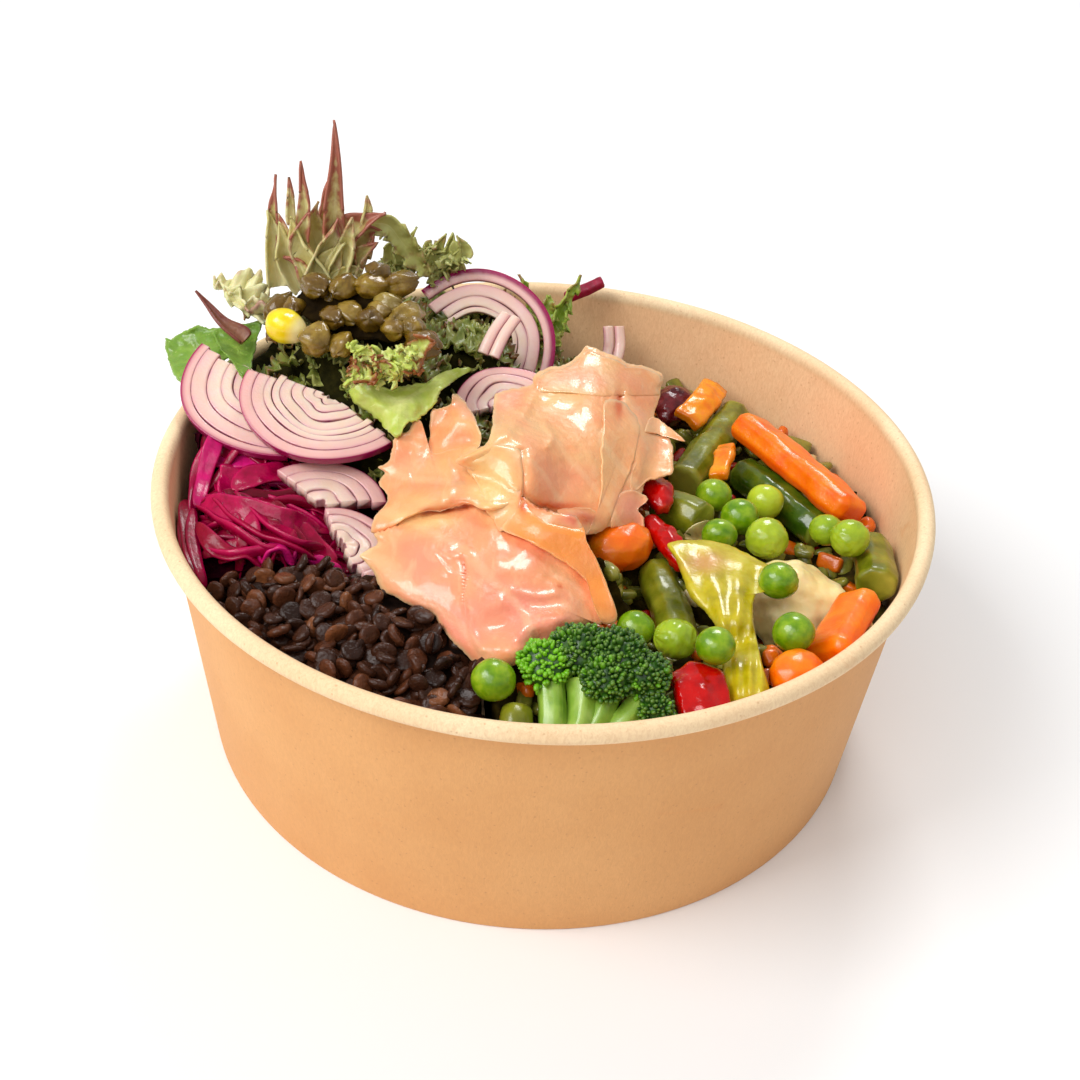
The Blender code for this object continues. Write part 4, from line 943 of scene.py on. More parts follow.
# Layers that lie on the slices: middle and outline in pixels, lift and thickness in millimetres
LAYERS = (
    ((452, 440), ((428, 453), (430, 431), (431, 410), (443, 408), (451, 403), (453, 394), (462, 398),
        (472, 413), (480, 429), (481, 443), (472, 455), (453, 464), (436, 464)), -1.2, 1.2),
    ((600, 380), ((534, 382), (548, 370), (564, 368), (580, 357), (588, 350), (601, 355), (622, 363),
        (628, 367), (645, 368), (662, 377), (659, 388), (656, 396), (623, 396), (606, 397), (566, 393),
        (540, 392)), 0.25, 0.7),
    ((502, 480), ((462, 459), (474, 450), (495, 444), (519, 449), (522, 462), (523, 481), (521, 505),
        (516, 516), (508, 524), (500, 531), (493, 519), (485, 511), (482, 495), (477, 483), (468, 472)),
        0.4, 0.9),
    ((620, 455), ((605, 401), (623, 401), (630, 409), (640, 424), (637, 448), (630, 472), (620, 495),
        (611, 519), (602, 531), (588, 533), (595, 519), (600, 495), (601, 472), (601, 448), (603, 424)),
        0.6, 0.9),
    ((652, 462), ((643, 434), (660, 436), (670, 439), (673, 455), (673, 472), (665, 477), (647, 482),
        (634, 493), (629, 481), (637, 457)), 0.2, 0.7),
    ((630, 512), ((618, 495), (634, 490), (643, 495), (648, 500), (638, 510), (644, 519), (642, 533),
        (630, 531), (617, 528), (610, 525)), 0.5, 0.8),
    ((662, 430), ((652, 417), (665, 424), (685, 441), (670, 438), (657, 434), (645, 431)), 0.8, 0.6),
    ((578, 520), ((558, 510), (575, 508), (592, 509), (597, 519), (589, 534), (578, 530), (566, 521)),
        0.4, 0.9),
)

# Folds that the photograph shows in the salmon, as pixels along each, width in pixels and height in
# millimetres. A ridge stands up on both sides of its line, and a crease is a fine groove.
RIDGES = (
    (((535, 383), (526, 408), (498, 438), (462, 458)), 7, 1.3),
    (((545, 425), (552, 436), (548, 446)), 4, 0.6),
    (((505, 432), (515, 440), (522, 446)), 4, 0.5),
    (((560, 400), (585, 410), (600, 430)), 12, 0.6),
    (((640, 420), (640, 450), (634, 480)), 7, 0.8),
    (((420, 440), (412, 465), (400, 490)), 8, 0.8),
    (((446, 460), (452, 478), (448, 498)), 5, 0.5),
    (((385, 545), (420, 535), (450, 545)), 8, 0.6),
    (((440, 550), (452, 556), (470, 552)), 4, 0.7),
    (((500, 565), (540, 572), (575, 600)), 14, 0.9),
    (((430, 548), (438, 560), (446, 572)), 4, 0.7),
    (((503, 602), (530, 614), (562, 618)), 6, 0.8),
    (((512, 590), (535, 596), (556, 594)), 4, 0.5),
    (((470, 620), (474, 636), (482, 650)), 4, 0.5),
    (((515, 652), (545, 640), (578, 629)), 15, 1.8),
)

CREASES = (
    (((556, 393), (590, 394), (625, 397), (652, 393)), 2.5, -0.8),
    (((621, 388), (620, 405), (618, 424)), 3, -1.6),
    (((607, 400), (608, 415), (601, 430)), 2.5, -0.8),
    (((522, 450), (523, 470), (524, 500)), 4, -1.2),
    (((463, 556), (466, 576), (464, 600), (468, 620)), 2.5, -1.0),
    (((425, 513), (445, 510), (468, 506)), 3.0, -2.0),
    (((410, 455), (412, 475), (418, 490)), 4, -0.6),
    (((480, 640), (505, 646), (540, 640)), 5, -0.5),
    (((549, 576), (570, 586), (588, 604)), 3, -0.6),
)

# Painted shade in the salmon's creases and under the slices' edges: middle, half width and half height in
# pixels
SHADE_SPOTS = (
    ((619, 403), 4, 16),
    ((430, 511), 8, 3),
    ((447, 510), 7, 3),
    ((465, 506), 6, 3),
    ((523, 500), 4, 14),
    ((583, 519), 12, 5),
    ((555, 506), 30, 4),
    ((464, 572), 1.5, 12),
    ((560, 586), 3, 2),
)

# Zones of the salmon's colours in the photograph: middle in pixels, half width, half height and strength
PINK_ZONES = (
    ((480, 600), 74, 60, 0.8),
    ((535, 620), 60, 45, 0.9),
    ((562, 488), 34, 28, 0.3),
    ((627, 512), 18, 22, 0.8),
    ((510, 400), 18, 26, 0.5),
    ((430, 560), 50, 30, 0.6),
    ((578, 518), 16, 8, 1.0),
    ((590, 378), 40, 12, 0.4),
    ((420, 470), 24, 30, 0.3),
)

CREAM_ZONES = (
    ((494, 480), 30, 38, 0.9),
    ((560, 396), 34, 12, 0.5),
    ((548, 430), 26, 16, 0.4),
    ((430, 518), 40, 8, 0.6),
    ((505, 432), 20, 24, 0.5),
)


def salmon_look():
    """Smoked salmon: cream, peach, pink and orange zones, thin pale edges and a wet skin."""
    look = Look("salmon", roughness=0.34, coat=0.55, coat_roughness=0.1, through=0.3, reach=2.2)
    cloud = look.noise(12, 4.0, None, 0.5)
    colour = look.ramp(cloud, (0.3, (244, 148, 96)), (0.5, (247, 166, 110)), (0.7, (249, 184, 126)))
    colour = look.mix(look.mark("pink"), colour, (246, 146, 120))
    fat = look.span(look.bands(9.0, 9.0), 0.86, 1.0, 0.0, 0.25)
    colour = look.mix(fat, colour, (252, 210, 162))
    streaks = look.span(look.noise(2.6, 4.0, (1, 0.35, 1), 0.8), 0.55, 0.75, 0.0, 0.35)
    colour = look.mix(streaks, colour, (252, 206, 158))
    colour = look.mix(look.mark("cream"), colour, (250, 198, 126))
    colour = look.mix(look.mark("gold"), colour, (246, 146, 52))
    # Painted shade, in deep orange, in the creases and under the slices' edges.
    colour = look.mix(look.mark("deep"), colour, (214, 84, 12))
    colour = look.mix(look.mark("edge"), colour, (253, 216, 164))
    look.bump(look.noise(1.6, 4.0), 0.22)
    look.bump(look.noise(0.35, 2.0), 0.04)
    return look.done(colour)


def off_line(pixels, line):
    """How far each pixel lies from a line."""
    path = curve(line, 24)
    return np.sqrt(((pixels[:, None] - path[None]) ** 2).sum(-1).min(1))


def folded(points, pixels):
    """How much each point of the salmon's upper side rises: the folds above and a gentle unevenness."""
    rise = 0.5 * rough(points, 7.0) + 0.2 * rough(points * (1, 1, 0.3), 2.4, 4.0)
    for line, width, height in RIDGES:
        rise += height * np.exp(-((off_line(pixels, line) / width) ** 2))
    for line, width, height in CREASES:
        rise += height * np.exp(-off_line(pixels, line) / width)
    return rise


def zones(pixels, spots):
    """How strongly each pixel lies in one of these zones."""
    strength = np.zeros(len(pixels))
    for (px, py), wide, high, amount in spots:
        away = ((pixels[:, 0] - px) / wide) ** 2 + ((pixels[:, 1] - py) / high) ** 2
        strength = np.maximum(strength, amount * np.exp(-(away**1.4)))
    return strength


def salmon_marks(points, share):
    """The colour marks of salmon: pale edges, painted shade in creases and under edges, and pink and cream
    zones.
    """
    pixels = pixels_of(points)
    # The deep mark holds the painted shade at the creases and slice edges.
    deep = np.zeros(len(points))
    for (px, py), wide, high in SHADE_SPOTS:
        deep += np.exp(-(((pixels[:, 0] - px) / wide) ** 2) - ((pixels[:, 1] - py) / high) ** 2)
    edge = np.clip((share - 0.94) / 0.06, 0, 1) ** 1.5 * 0.6
    pink = np.clip(zones(pixels, PINK_ZONES) + 0.35 * rough(points, 9.0, 7.0), 0, 1)
    cream = np.clip(zones(pixels, CREAM_ZONES) + 0.3 * rough(points, 6.0, 3.0), 0, 0.9)
    return {"edge": edge, "pink": pink * (1 - edge), "cream": cream * (1 - 0.6 * pink),
            "deep": np.clip(deep, 0, 0.85)}


def salmon():
    """Three torn slices, the orange fold at the front, and thin layers on them."""
    look = salmon_look()
    shapes = []
    for node, (middle, outline) in SLICES.items():
        over = search_tree(shapes) if node == "salmon_lower" else None
        points, faces, share = sheet(outline, middle, tree_of(node), lift=0.2, thick=2.0, spokes=260,
                                     rings=42, torn=1.3, lip=0.25, droop=0.8, rounds=24, relief=folded,
                                     over=over)
        piece(f"{node}_slice", points, faces, "salmon", look, node, **salmon_marks(points, share))
        shapes.append((points, faces))
    middle, outline = FOLD
    _, upper, lower = shapes
    points, faces, share = sheet(outline, middle, search_tree([lower]), lift=1.3, thick=1.9, spokes=240,
                                 rings=26, torn=0.8, lip=0.6, droop=0.3, rounds=30,
                                 over=search_tree([upper]), beneath=1.0)
    marks = salmon_marks(points, share)
    marks["pink"] = 0 * share
    marks["gold"] = np.clip(0.8 - 0.5 * share**6 + 0.3 * rough(points, 5.0), 0, 1)
    piece("salmon_fold_slice", points, faces, "salmon", look, "salmon_fold", **marks)
    ground = search_tree([*shapes, (points, faces)])
    pile = Pile()
    for middle, outline, lift, thick in LAYERS:
        points, faces, share = sheet(outline, middle, ground, lift=lift, thick=thick, spokes=120,
                                     rings=14, torn=1.2, lip=0.35, droop=0.4, rounds=10)
        pile.add(points, faces, **salmon_marks(points, share))
    pile.piece("salmon_layers", "salmon", look)


# Leaves


# Colours of each kind of leaf: its foot, its blade, its tips and its ribs
GREEN = (150, 184, 70), (112, 152, 48), (132, 76, 44), (210, 216, 140)
# The salad bed's leaves: browner in their own tone, and painted darker as the shade they lie in.
SHADED_DARK = (168, 168, 90), (104, 120, 36), (120, 82, 36), (170, 176, 100)
FRESH = (196, 212, 110), (150, 182, 56), (140, 78, 40), (222, 228, 160)
CURLY = (226, 230, 150), (190, 206, 84), (156, 92, 46), (236, 240, 180)
DULL = (240, 232, 180), (200, 188, 116), (168, 98, 78), (240, 236, 190)
PALE_GREEN = (236, 230, 186), (220, 216, 158), (190, 148, 126), (242, 238, 206)
CLUMP_GREEN = (212, 214, 140), (168, 168, 88), (146, 96, 64), (222, 224, 160)
RED = (150, 100, 70), (146, 84, 60), (126, 60, 46), (184, 120, 86)

# The tuft's leaves: pixels from foot to tip, depth, width in millimetres, blush and seed
TUFT = (
    (((331, 276), (333, 228), (336, 173), (334, 120)), 46, 5.6, 1.0, 1.0),
    (((272, 258), (276, 221), (275, 195), (276, 175)), 46, 2.8, 1.0, 2.0),
    (((291, 224), (290, 197), (289, 178)), 46, 2.0, 0.5, 3.0),
    (((306, 247), (306, 210), (303, 184), (301, 163)), 46, 3.2, 0.9, 4.0),
    (((279, 286), (273, 258), (271, 225), (268, 212)), 45, 4.8, 0.0, 5.5),
    (((332, 294), (313, 260), (299, 238), (291, 218)), 43, 6.6, 0.05, 6.5),
    (((310, 276), (300, 247), (305, 225), (309, 212)), 44, 5.4, 0.6, 7.5),
    (((346, 262), (352, 236), (368, 221), (386, 214)), 46, 7.6, 1.0, 8.5),
    (((366, 224), (367, 210), (367, 196)), 47, 2.6, 0.3, 9.5),
    (((342, 288), (344, 258), (349, 236), (352, 219)), 43, 6.2, 0.3, 10.5),
    (((318, 276), (322, 252), (331, 233), (338, 220)), 43, 7.4, 0.55, 11.5),
    (((345, 280), (352, 264), (365, 252), (377, 243)), 44, 5.6, 0.5, 12.5),
    (((300, 290), (288, 264), (284, 240), (279, 222)), 44, 5.2, 0.2, 13.5),
    (((322, 292), (326, 270), (336, 252), (346, 243)), 42, 4.6, 0.1, 14.5),
    (((312, 290), (304, 272), (296, 262), (284, 257)), 42, 3.4, 0.8, 15.5),
    (((333, 292), (340, 275), (352, 268), (362, 270)), 42, 3.6, 0.2, 16.5),
    (((325, 262), (314, 236), (312, 215), (318, 203)), 48, 5.4, 0.5, 17.5),
    (((352, 250), (362, 236), (372, 230), (383, 233)), 48, 5.0, 0.8, 18.5),
)

# Leaves at the tuft's back: foot, tip, width, blush and seed, all in millimetres
TUFT_BACK = (
    ((-60, 48, 76), (-66, 55, 89), 7.0, 0.5, 13.5),
    ((-56, 50, 78), (-55, 59, 93), 7.6, 0.6, 14.5),
    ((-50, 49, 76), (-44, 56, 88), 7.0, 0.6, 15.5),
    ((-54, 49, 78), (-53, 52, 99), 7.0, 0.6, 16.5),
)

# The leaf that arches from the tuft to the right: pixels, depth and width
ARCHING_LEAF = (((370, 224), (388, 225), (403, 243), (418, 261), (430, 274)), 49, 6.4)

# The pointed tips of the clump behind the onions, in pixels
CLUMP_TIPS = (
    ((403, 265), (407, 247), (417, 227)),
    ((429, 262), (436, 247), (446, 234)),
    ((449, 262), (451, 247), (453, 233)),
    ((464, 258), (461, 246), (457, 236)),
    ((392, 262), (391, 250), (396, 240)),
)

# The green leaf at the left: the part behind the onion and the part that hangs over its cut edge
LEAF_BEHIND = (
    (200, 352),
    ((165, 338), (171, 340), (181, 332), (192, 329), (199, 326), (214, 328), (233, 326), (250, 330),
        (238, 350), (218, 366), (198, 384), (184, 389), (176, 378), (170, 368), (167, 354)),
)

LEAF_OVER = (
    (238, 348),
    ((214, 330), (233, 326), (260, 322), (257, 340), (254, 354), (249, 382), (240, 376), (232, 362),
        (220, 348)),
)

# The pale leaf that hangs in front of the lettuce, to the right
PALE_LEAF = (
    (400, 402),
    ((350, 396), (349, 385), (356, 377), (368, 380), (380, 386), (396, 388), (410, 384), (428, 382),
        (440, 373), (456, 368), (471, 370), (460, 377), (446, 387), (437, 400), (430, 412), (420, 420),
        (408, 424), (398, 437), (391, 435), (382, 424), (368, 412), (358, 406)),
)

# The pale curled leaf at the left: path, width, lobes, bite, cup, ruffle, roll, blush and seed of each blade
PALE_BLADES = (
    (((-67.5, 40, 73.0), (-73, 41, 75), (-79, 44, 76.5)), 11.5, 4, 0.45, 0.8, 0.14, 0.0, 0.25, 4.0),
    (((-65, 37, 72.5), (-70, 37.5, 75.5), (-75, 39, 77)), 8.0, 3, 0.4, 1.0, 0.12, 0.8, 0.1, 5.0),
    (((-62, 36, 73.0), (-66.5, 36, 74.0), (-71, 36.5, 72.5)), 8.0, 3, 0.3, 0.6, 0.1, -0.4, 0.9, 6.0),
)

# The red spike at the left, from foot to tip
RED_SPIKE = ((-69.8, 26.8, 71.0), (-73.8, 28.6, 73.6), (-77.6, 31, 77), (-80.8, 32.6, 80.4))

# The fresh leaf at the back: foot, tip and width of each blade
RIGHT_BLADES = (
    ((-1.5, 61, 57), (-9, 66, 71.5), 6.0),
    ((-1, 61, 57), (5.5, 67, 72), 6.0),
    ((-1, 60, 56), (-2, 66, 67), 8.0),
    ((-3, 60, 56), (-7, 64, 64), 6.0),
    ((1, 61, 58), (3, 65, 66), 6.0),
)


def leaf(pile, path, width, lobes=5, bite=0.4, cup=0.3, ruffle=0.12, twist=0.0, roll=0.0, blush=0.5, seed=0.0,
         stations=44, across=10, up=(0, 0, 1), narrow=0.75, blunt=0.8):
    """A leaf along a path: lobed or toothed outline, a rib marked for colour, ruffled edge. Marks say where
    colours go.
    """
    line = curve(path, stations)
    share = np.linspace(0, 1, stations)
    v = np.linspace(-1, 1, across + 1)
    ahead, side, above = frames(line, up)
    length = np.linalg.norm(np.diff(line, axis=0), axis=1).sum()
    envelope = np.sin(math.pi * np.clip(0.06 + 0.94 * share, 0, 1) ** narrow) ** blunt
    tooth = (share * lobes + 0.1 * np.sin(seed)) % 1.0
    outline = envelope * (1 - bite * tooth) + 0.02
    half = width / 2 * outline[:, None] * (1 + 0.18 * np.sin(seed + share * 7)[:, None] * np.sign(v))
    push = 0.5 * length / max(lobes, 1) * (tooth[:, None] ** 2) * bite * np.abs(v) ** 2
    edge = np.abs(v)[None] ** 1.6
    phase = seed + np.where(v > 0, 1.7, 0.0)[None]
    wave = ruffle * width * edge * np.sin(share[:, None] * math.tau * lobes * 0.9 + phase)
    wave += 0.35 * ruffle * width * edge * np.sin(share[:, None] * math.tau * lobes * 2.3 + 2 * phase)
    sideways, upwards = leaned(half * v, cup * half * v**2 + wave, (roll + twist * share)[:, None])
    points = (line[:, None] + ahead[:, None] * push[..., None] + side[:, None] * sideways[..., None]
              + above[:, None] * upwards[..., None])
    near_edge = np.clip(edge * 0.45 + 0.85 * share[:, None] ** 2, 0, 1) * blush * 1.6
    rib = np.clip(1 - np.abs(v) * (3.5 + 5 * share[:, None]), 0, 1) * (1 - 0.6 * share[:, None])
    pile.add(points.reshape(-1, 3), grid_faces(stations, across + 1, False), blush=near_edge.ravel(),
             rib=rib.ravel(), along=np.repeat(share, across + 1))


def blade(pile, pixels, y, width, blush, seed):
    """A narrow leaf that stands across the view, along these pixels."""
    leaf(pile, [at_depth(px, py, y) for px, py in pixels], width, lobes=2, bite=0.12, cup=0.9, ruffle=0.05,
         twist=0.8 * math.sin(seed), roll=0.4 * math.cos(seed * 3), blush=blush, seed=seed,
         up=(0.2 * math.sin(seed), -1, 0.1), narrow=0.5, blunt=1.1)


def bent(foot, tip, bend=(0, 0, 0)):
    """A leaf's path from foot to tip, with its middle moved by the bend."""
    foot, tip = np.array(foot, float), np.array(tip, float)
    return [foot, (foot + tip) / 2 + bend, tip]


def crinkled(points, _):
    """How much each point of a flat leaf rises."""
    return rough(points, 4.0, 2.0) + 0.4 * rough(points, 1.7)


def leaf_sheet(name, place, tree, look, lift, *nodes, torn=1.8):
    """A flat leaf, whose place is its middle and its outline in pixels."""
    middle, outline = place
    points, faces, share = sheet(outline, middle, tree, lift=lift, thick=0.6, spokes=150, rings=16,
                                 torn=torn, lip=0.6, droop=0.4, rounds=16, relief=crinkled)
    ribs = np.abs(np.sin(0.22 * (pixels_of(points) - middle) @ (0.5, 0.86) + 2 * rough(points, 9.0)))
    piece(name, points, faces, "lettuce", look, *nodes, rib=np.clip(0.5 - 4 * ribs, 0, 0.5) * 2,
          along=share)


def tuft():
    """The upright tuft with its spikes."""
    pile = Pile()
    for pixels, y, width, blush, seed in TUFT:
        blade(pile, pixels, y, width, blush, seed)
    for foot, tip, width, blush, seed in TUFT_BACK:
        leaf(pile, bent(foot, tip), width, lobes=2, bite=0.3, cup=1.0, ruffle=0.05, blush=blush, seed=seed,
             up=(0.2 * math.sin(seed), -1, 0.1), narrow=0.5)
    pile.piece("tuft_leaves", "lettuce", leaf_look("lettuce_dull", *DULL), "lettuce_tuft", thick=0.55)


def left_leaves():
    """The green leaf that hangs over the rim, the pale curled one behind it and the red spike."""
    green = leaf_look("lettuce_green", *GREEN)
    leaf_sheet("leaf_left_blade", LEAF_BEHIND, tree_of("leaf_left"), green, 0.0, "leaf_left")
    leaf_sheet("leaf_left_lobe", LEAF_OVER, tree_of("leaf_left", "onion_left"), green, 3.6)
    pile = Pile()
    for path, width, lobes, bite, cup, ruffle, roll, blush, seed in PALE_BLADES:
        leaf(pile, path, width, lobes=lobes, bite=bite, cup=cup, ruffle=ruffle, roll=roll, blush=blush,
             seed=seed)
    pile.piece("leaf_pale_blade", "lettuce", leaf_look("lettuce_pale", *PALE_GREEN), "leaf_pale", thick=0.5)
    pile = Pile()
    leaf(pile, RED_SPIKE, 4.4, lobes=1, bite=0.0, cup=0.9, ruffle=0.02, blush=1.0, seed=1.0, narrow=0.42,
         blunt=1.2)
    pile.piece("leaf_red_blade", "lettuce_red", leaf_look("lettuce_red", *RED), "leaf_red", thick=0.55)


def clump(draw):
    """The curly clump behind the onions, with the leaf that arches over to it from the tuft."""
    pile = Pile()
    for k in range(22):
        px = 392 + 62 * ((k % 11) / 10) + draw.uniform(-4, 4)
        start = at_depth(px, 264 + draw.uniform(-8, 12), 52 + draw.uniform(0, 3))
        end = start + (draw.uniform(-4, 5), draw.uniform(-3, 4), draw.uniform(-4.0, 5.0))
        leaf(pile, bent(start, end, (0, draw.uniform(-1, 1), 0.6)), draw.uniform(5, 9), lobes=4, bite=0.5,
             cup=0.7, ruffle=0.12, roll=draw.uniform(-1, 1), blush=draw.uniform(0.0, 0.7), seed=30 + k,
             up=(0, -1, 0.3), stations=34, across=8)
    pixels, y, width = ARCHING_LEAF
    leaf(pile, [at_depth(px, py, y) for px, py in pixels], width, lobes=6, bite=0.35, cup=0.7, ruffle=0.1,
         blush=0.35, seed=33.0, up=(0, -1, 0.2), blunt=0.5)
    for k, pixels in enumerate(CLUMP_TIPS):
        blade(pile, pixels, 53, 3.6, 0.25, 40.0 + k)
    pile.piece("leaf_back_blades", "lettuce", leaf_look("lettuce_clump", *CLUMP_GREEN), "leaf_back",
               thick=0.45)


def right_leaf():
    """The fresh leaf at the back, beside the onion."""
    pile = Pile()
    for k, (foot, tip, width) in enumerate(RIGHT_BLADES):
        leaf(pile, bent(foot, tip, (0.4 * k - 1, 0.5, 0)), width, lobes=4, bite=0.5, cup=0.6, ruffle=0.1,
             roll=0.5 * k - 1, blush=0.35, seed=50 + k, up=(0, -1, 0.3), narrow=0.6)
    pile.piece("leaf_right_blades", "lettuce", leaf_look("lettuce_fresh", *FRESH), "leaf_right", thick=0.5)


def front_leaf(draw):
    """The pale leaf in front of the capers, with its curly frill."""
    curly = leaf_look("lettuce_curly", *CURLY)
    ground = tree_of("leaf_front", "onion_middle", "salmon_left", "salad_bed")
    leaf_sheet("leaf_front_blade", PALE_LEAF, ground, curly, 1.0, "leaf_front", torn=3.0)
    pile = Pile()
    for k in range(34):
        px = 354 + 3.6 * (k % 17) + draw.uniform(-4, 4)
        py = 366 + draw.uniform(-8, 26) - 0.6 * (k % 17)
        base = at_depth(px, py, 8 + draw.uniform(-3, 4))
        out = np.array((draw.uniform(-4.5, 5.5), draw.uniform(-3, 2), draw.uniform(-1.5, 4.5)))
        leaf(pile, [base, base + out * 0.5 + (0, 0, 0.8), base + out], draw.uniform(2.5, 5.5), lobes=4,
             bite=0.5, cup=0.6, ruffle=0.14, roll=draw.uniform(-0.9, 0.9), blush=draw.uniform(0.0, 1.0),
             seed=73 + k, stations=26, across=8, up=(0, -0.7, 0.7))
    pile.piece("leaf_front_frill", "lettuce", curly, "leaf_front", thick=0.45)


def salad(draw):
    """The low bed of small leaves at the back left."""
    # The salad core is painted dark as the shade between the leaves.
    dark = shade_core_look("salad_core", (20, 18, 5), (34, 32, 9), (50, 46, 15))
    bed = heap("salad_bed", "lettuce", dark, swell=-1.4)
    others = others_than("salad_bed", "leaf_front", "leaf_back", "leaf_right")
    pile = Pile()
    for x, y in lattice(4.6, draw, 2.0):
        hit, normal = from_above(bed, x, y)
        heading, size = draw.uniform(0, math.tau), draw.uniform(6, 11)
        wide, twist, blush = draw.uniform(5, 8), draw.uniform(-0.8, 0.8), draw.uniform(0, 0.9)
        if hit is None or normal.z < 0.1:
            continue
        start = np.array(hit) + (0, 0, 0.3)
        step = np.array((math.cos(heading), math.sin(heading), 0)) * size
        path = [start, start + step * 0.5 + (0, 0, 1.0), start + step + (0, 0, draw.uniform(-1.5, 1.2))]
        if all(inside_wall(p, 1.5) and others.find_nearest(Vector(p))[3] > 1.6 for p in path):
            leaf(pile, path, wide, lobes=5, bite=0.45, cup=0.4, ruffle=0.14, twist=twist, blush=blush,
                 seed=x + y, stations=22, across=6)
    pile.piece("salad_leaves", "lettuce", leaf_look("lettuce_shaded_dark", *SHADED_DARK), "salad_bed", thick=0.4)


def lettuce():
    tuft()
    left_leaves()
    draw = random.Random(21)
    clump(draw)
    right_leaf()
    front_leaf(draw)
    salad(draw)


# Capers and corn


# Capers by place, with the half length and half width of each
CAPERS = (
    (-61.5, 30, 3.9, 3.5), (-53, 28.5, 3.9, 3.2), (-46, 34, 3.2, 3.0), (-46.5, 28, 3.8, 3.0),
    (-40.5, 28.5, 3.9, 3.3), (-34.5, 30, 3.8, 3.2), (-48, 21, 4.2, 2.9), (-51, 15.5, 3.8, 3.7),
    (-40, 20.5, 3.8, 3.6), (-32, 22.5, 4.4, 3.3), (-28, 16, 4.0, 3.7), (-36.5, 25, 3.4, 3.2),
    (-39.5, 32, 3.4, 3.0), (-34.5, 19, 3.2, 3.0), (-45.5, 14.5, 3.2, 3.0),
)


def caper(pile, shape_of, faces, angle, x, y, z, half_length, half_width, draw):
    """One bud: ribbed by its sepals, which meet in a point."""
    seed, spin = draw.uniform(0, 40), draw.uniform(0, math.tau)
    tilt, tone = turn(draw.uniform(0.9, 2.0), draw.uniform(-0.4, 0.4), spin), draw.uniform(0, 1)
    ribs = 1 + 0.06 * np.sin(4 * angle + seed)
    ribs += 0.04 * np.sin(7 * angle + seed * 2) * (1 - shape_of[:, 2] ** 2)
    shape = shape_of * ribs[:, None]
    shape = shape * (1 + 0.16 * rough(shape, 0.7, seed) + 0.06 * rough(shape, 0.24, seed))[:, None]
    shape = shape * (half_width, half_width * draw.uniform(0.8, 1.0), half_length)
    shape[:, 2] += 0.7 * np.clip(shape_of[:, 2] - 0.8, 0, 1) * half_length
    pile.add(shape @ tilt.T + (x, y, z), faces, tone=tone, tip=np.clip(shape_of[:, 2], 0, 1))


def capers():
    """Pickled buds, closed by overlapping sepals: the large ones by place, smaller ones between them."""
    look = food("caper", (100, 74, 10), (138, 106, 28), (164, 136, 50), patch=2.2, fine=0.6, relief=0.16,
                roughness=0.2, coat=0.5, through=0.15, reach=1.0,
                marks=(("tone", 0.5, 1.0, 0.7, (162, 142, 70)), ("tone", 0.5, 0.0, 0.7, (92, 62, 10)),
                       ("tip", 0.5, 1.0, 0.5, (84, 60, 14))))
    # The caper core is painted dark as the shade between the buds.
    dark = shade_core_look("caper_shade_core", (18, 11, 3), (30, 20, 6), (44, 32, 9))
    core = heap("capers", "caper", dark, voxel=0.7, swell=-1.6)
    shape_of, faces = ball(30, 20)
    draw = random.Random(9)
    pile = Pile()
    angle = np.arctan2(shape_of[:, 1], shape_of[:, 0])
    tree = tree_of("capers")
    others = others_than("capers")
    for x, y, half_length, half_width in CAPERS:
        hit = from_above(tree, x, y)[0] or core.find_nearest(Vector((x, y, 80)))[0]
        caper(pile, shape_of, faces, angle, x, y, hit.z - half_width * 0.75, half_length, half_width, draw)
    for x, y in lattice(5.2, draw, 1.2):
        hit = from_above(core, x, y)[0]
        size = draw.uniform(2.4, 3.2)
        near = min(math.hypot(x - c[0], y - c[1]) for c in CAPERS)
        if hit is None or near < 2.6:
            continue
        z = hit.z + draw.uniform(-0.4, 0.8)
        if others.find_nearest(Vector((x, y, z)))[3] > size * 0.7:
            caper(pile, shape_of, faces, angle, x, y, z, size * 1.15, size, draw)
    pile.piece("caper_buds", "caper", look, "capers")


def corn_kernel():
    """One kernel of sweetcorn: a plump yellow crown that narrows to a pale foot."""
    low, high = box_of("corn_kernel")
    centre = (low + high) / 2
    round_ball, faces = ball(32, 24)
    shape = np.sign(round_ball) * np.abs(round_ball) ** (0.8, 0.85, 0.8)
    narrow = 1 - 0.28 * np.clip(shape[:, 0], 0, 1)
    shape = shape * np.column_stack((np.ones(len(shape)), narrow, narrow)) * (4.7, 3.7, 3.6)
    shape = shape * (1 + 0.05 * rough(shape, 2.5, 1.0))[:, None]
    shape = shape @ (turn(z=math.radians(-20)) @ turn(y=math.radians(8))).T + centre
    pale = np.clip((round_ball[:, 0] - 0.25) / 0.35, 0, 1)
    look = food("sweetcorn", (240, 204, 8), (250, 220, 16), (252, 232, 50), patch=3.0, fine=0.8,
                relief=0.05, roughness=0.2, coat=0.5, through=0.25, reach=1.6,
                marks=(("pale", 0.0, 1.0, 0.85, (250, 232, 170)),))
    piece("corn_kernel_skin", shape, faces, "sweetcorn", look, "corn_kernel", pale=pale)


# Cooked vegetables


# How wrinkled each pea is, and how pale, from 0 to 1; the rest are smooth and green
WRINKLED = {5: 0.5, 7: 1.0, 13: 0.9, 11: 0.6, 12: 0.7, 4: 0.3}
PALE = {4: 1.0, 13: 0.75, 11: 0.4, 12: 0.5, 7: 0.5, 1: 0.2}

# The white chip by the peas: its middle and its outline in pixels
CHIP = (698, 531), ((683, 538), (689, 528), (703, 521), (719, 520), (716, 529), (707, 539), (695, 541))

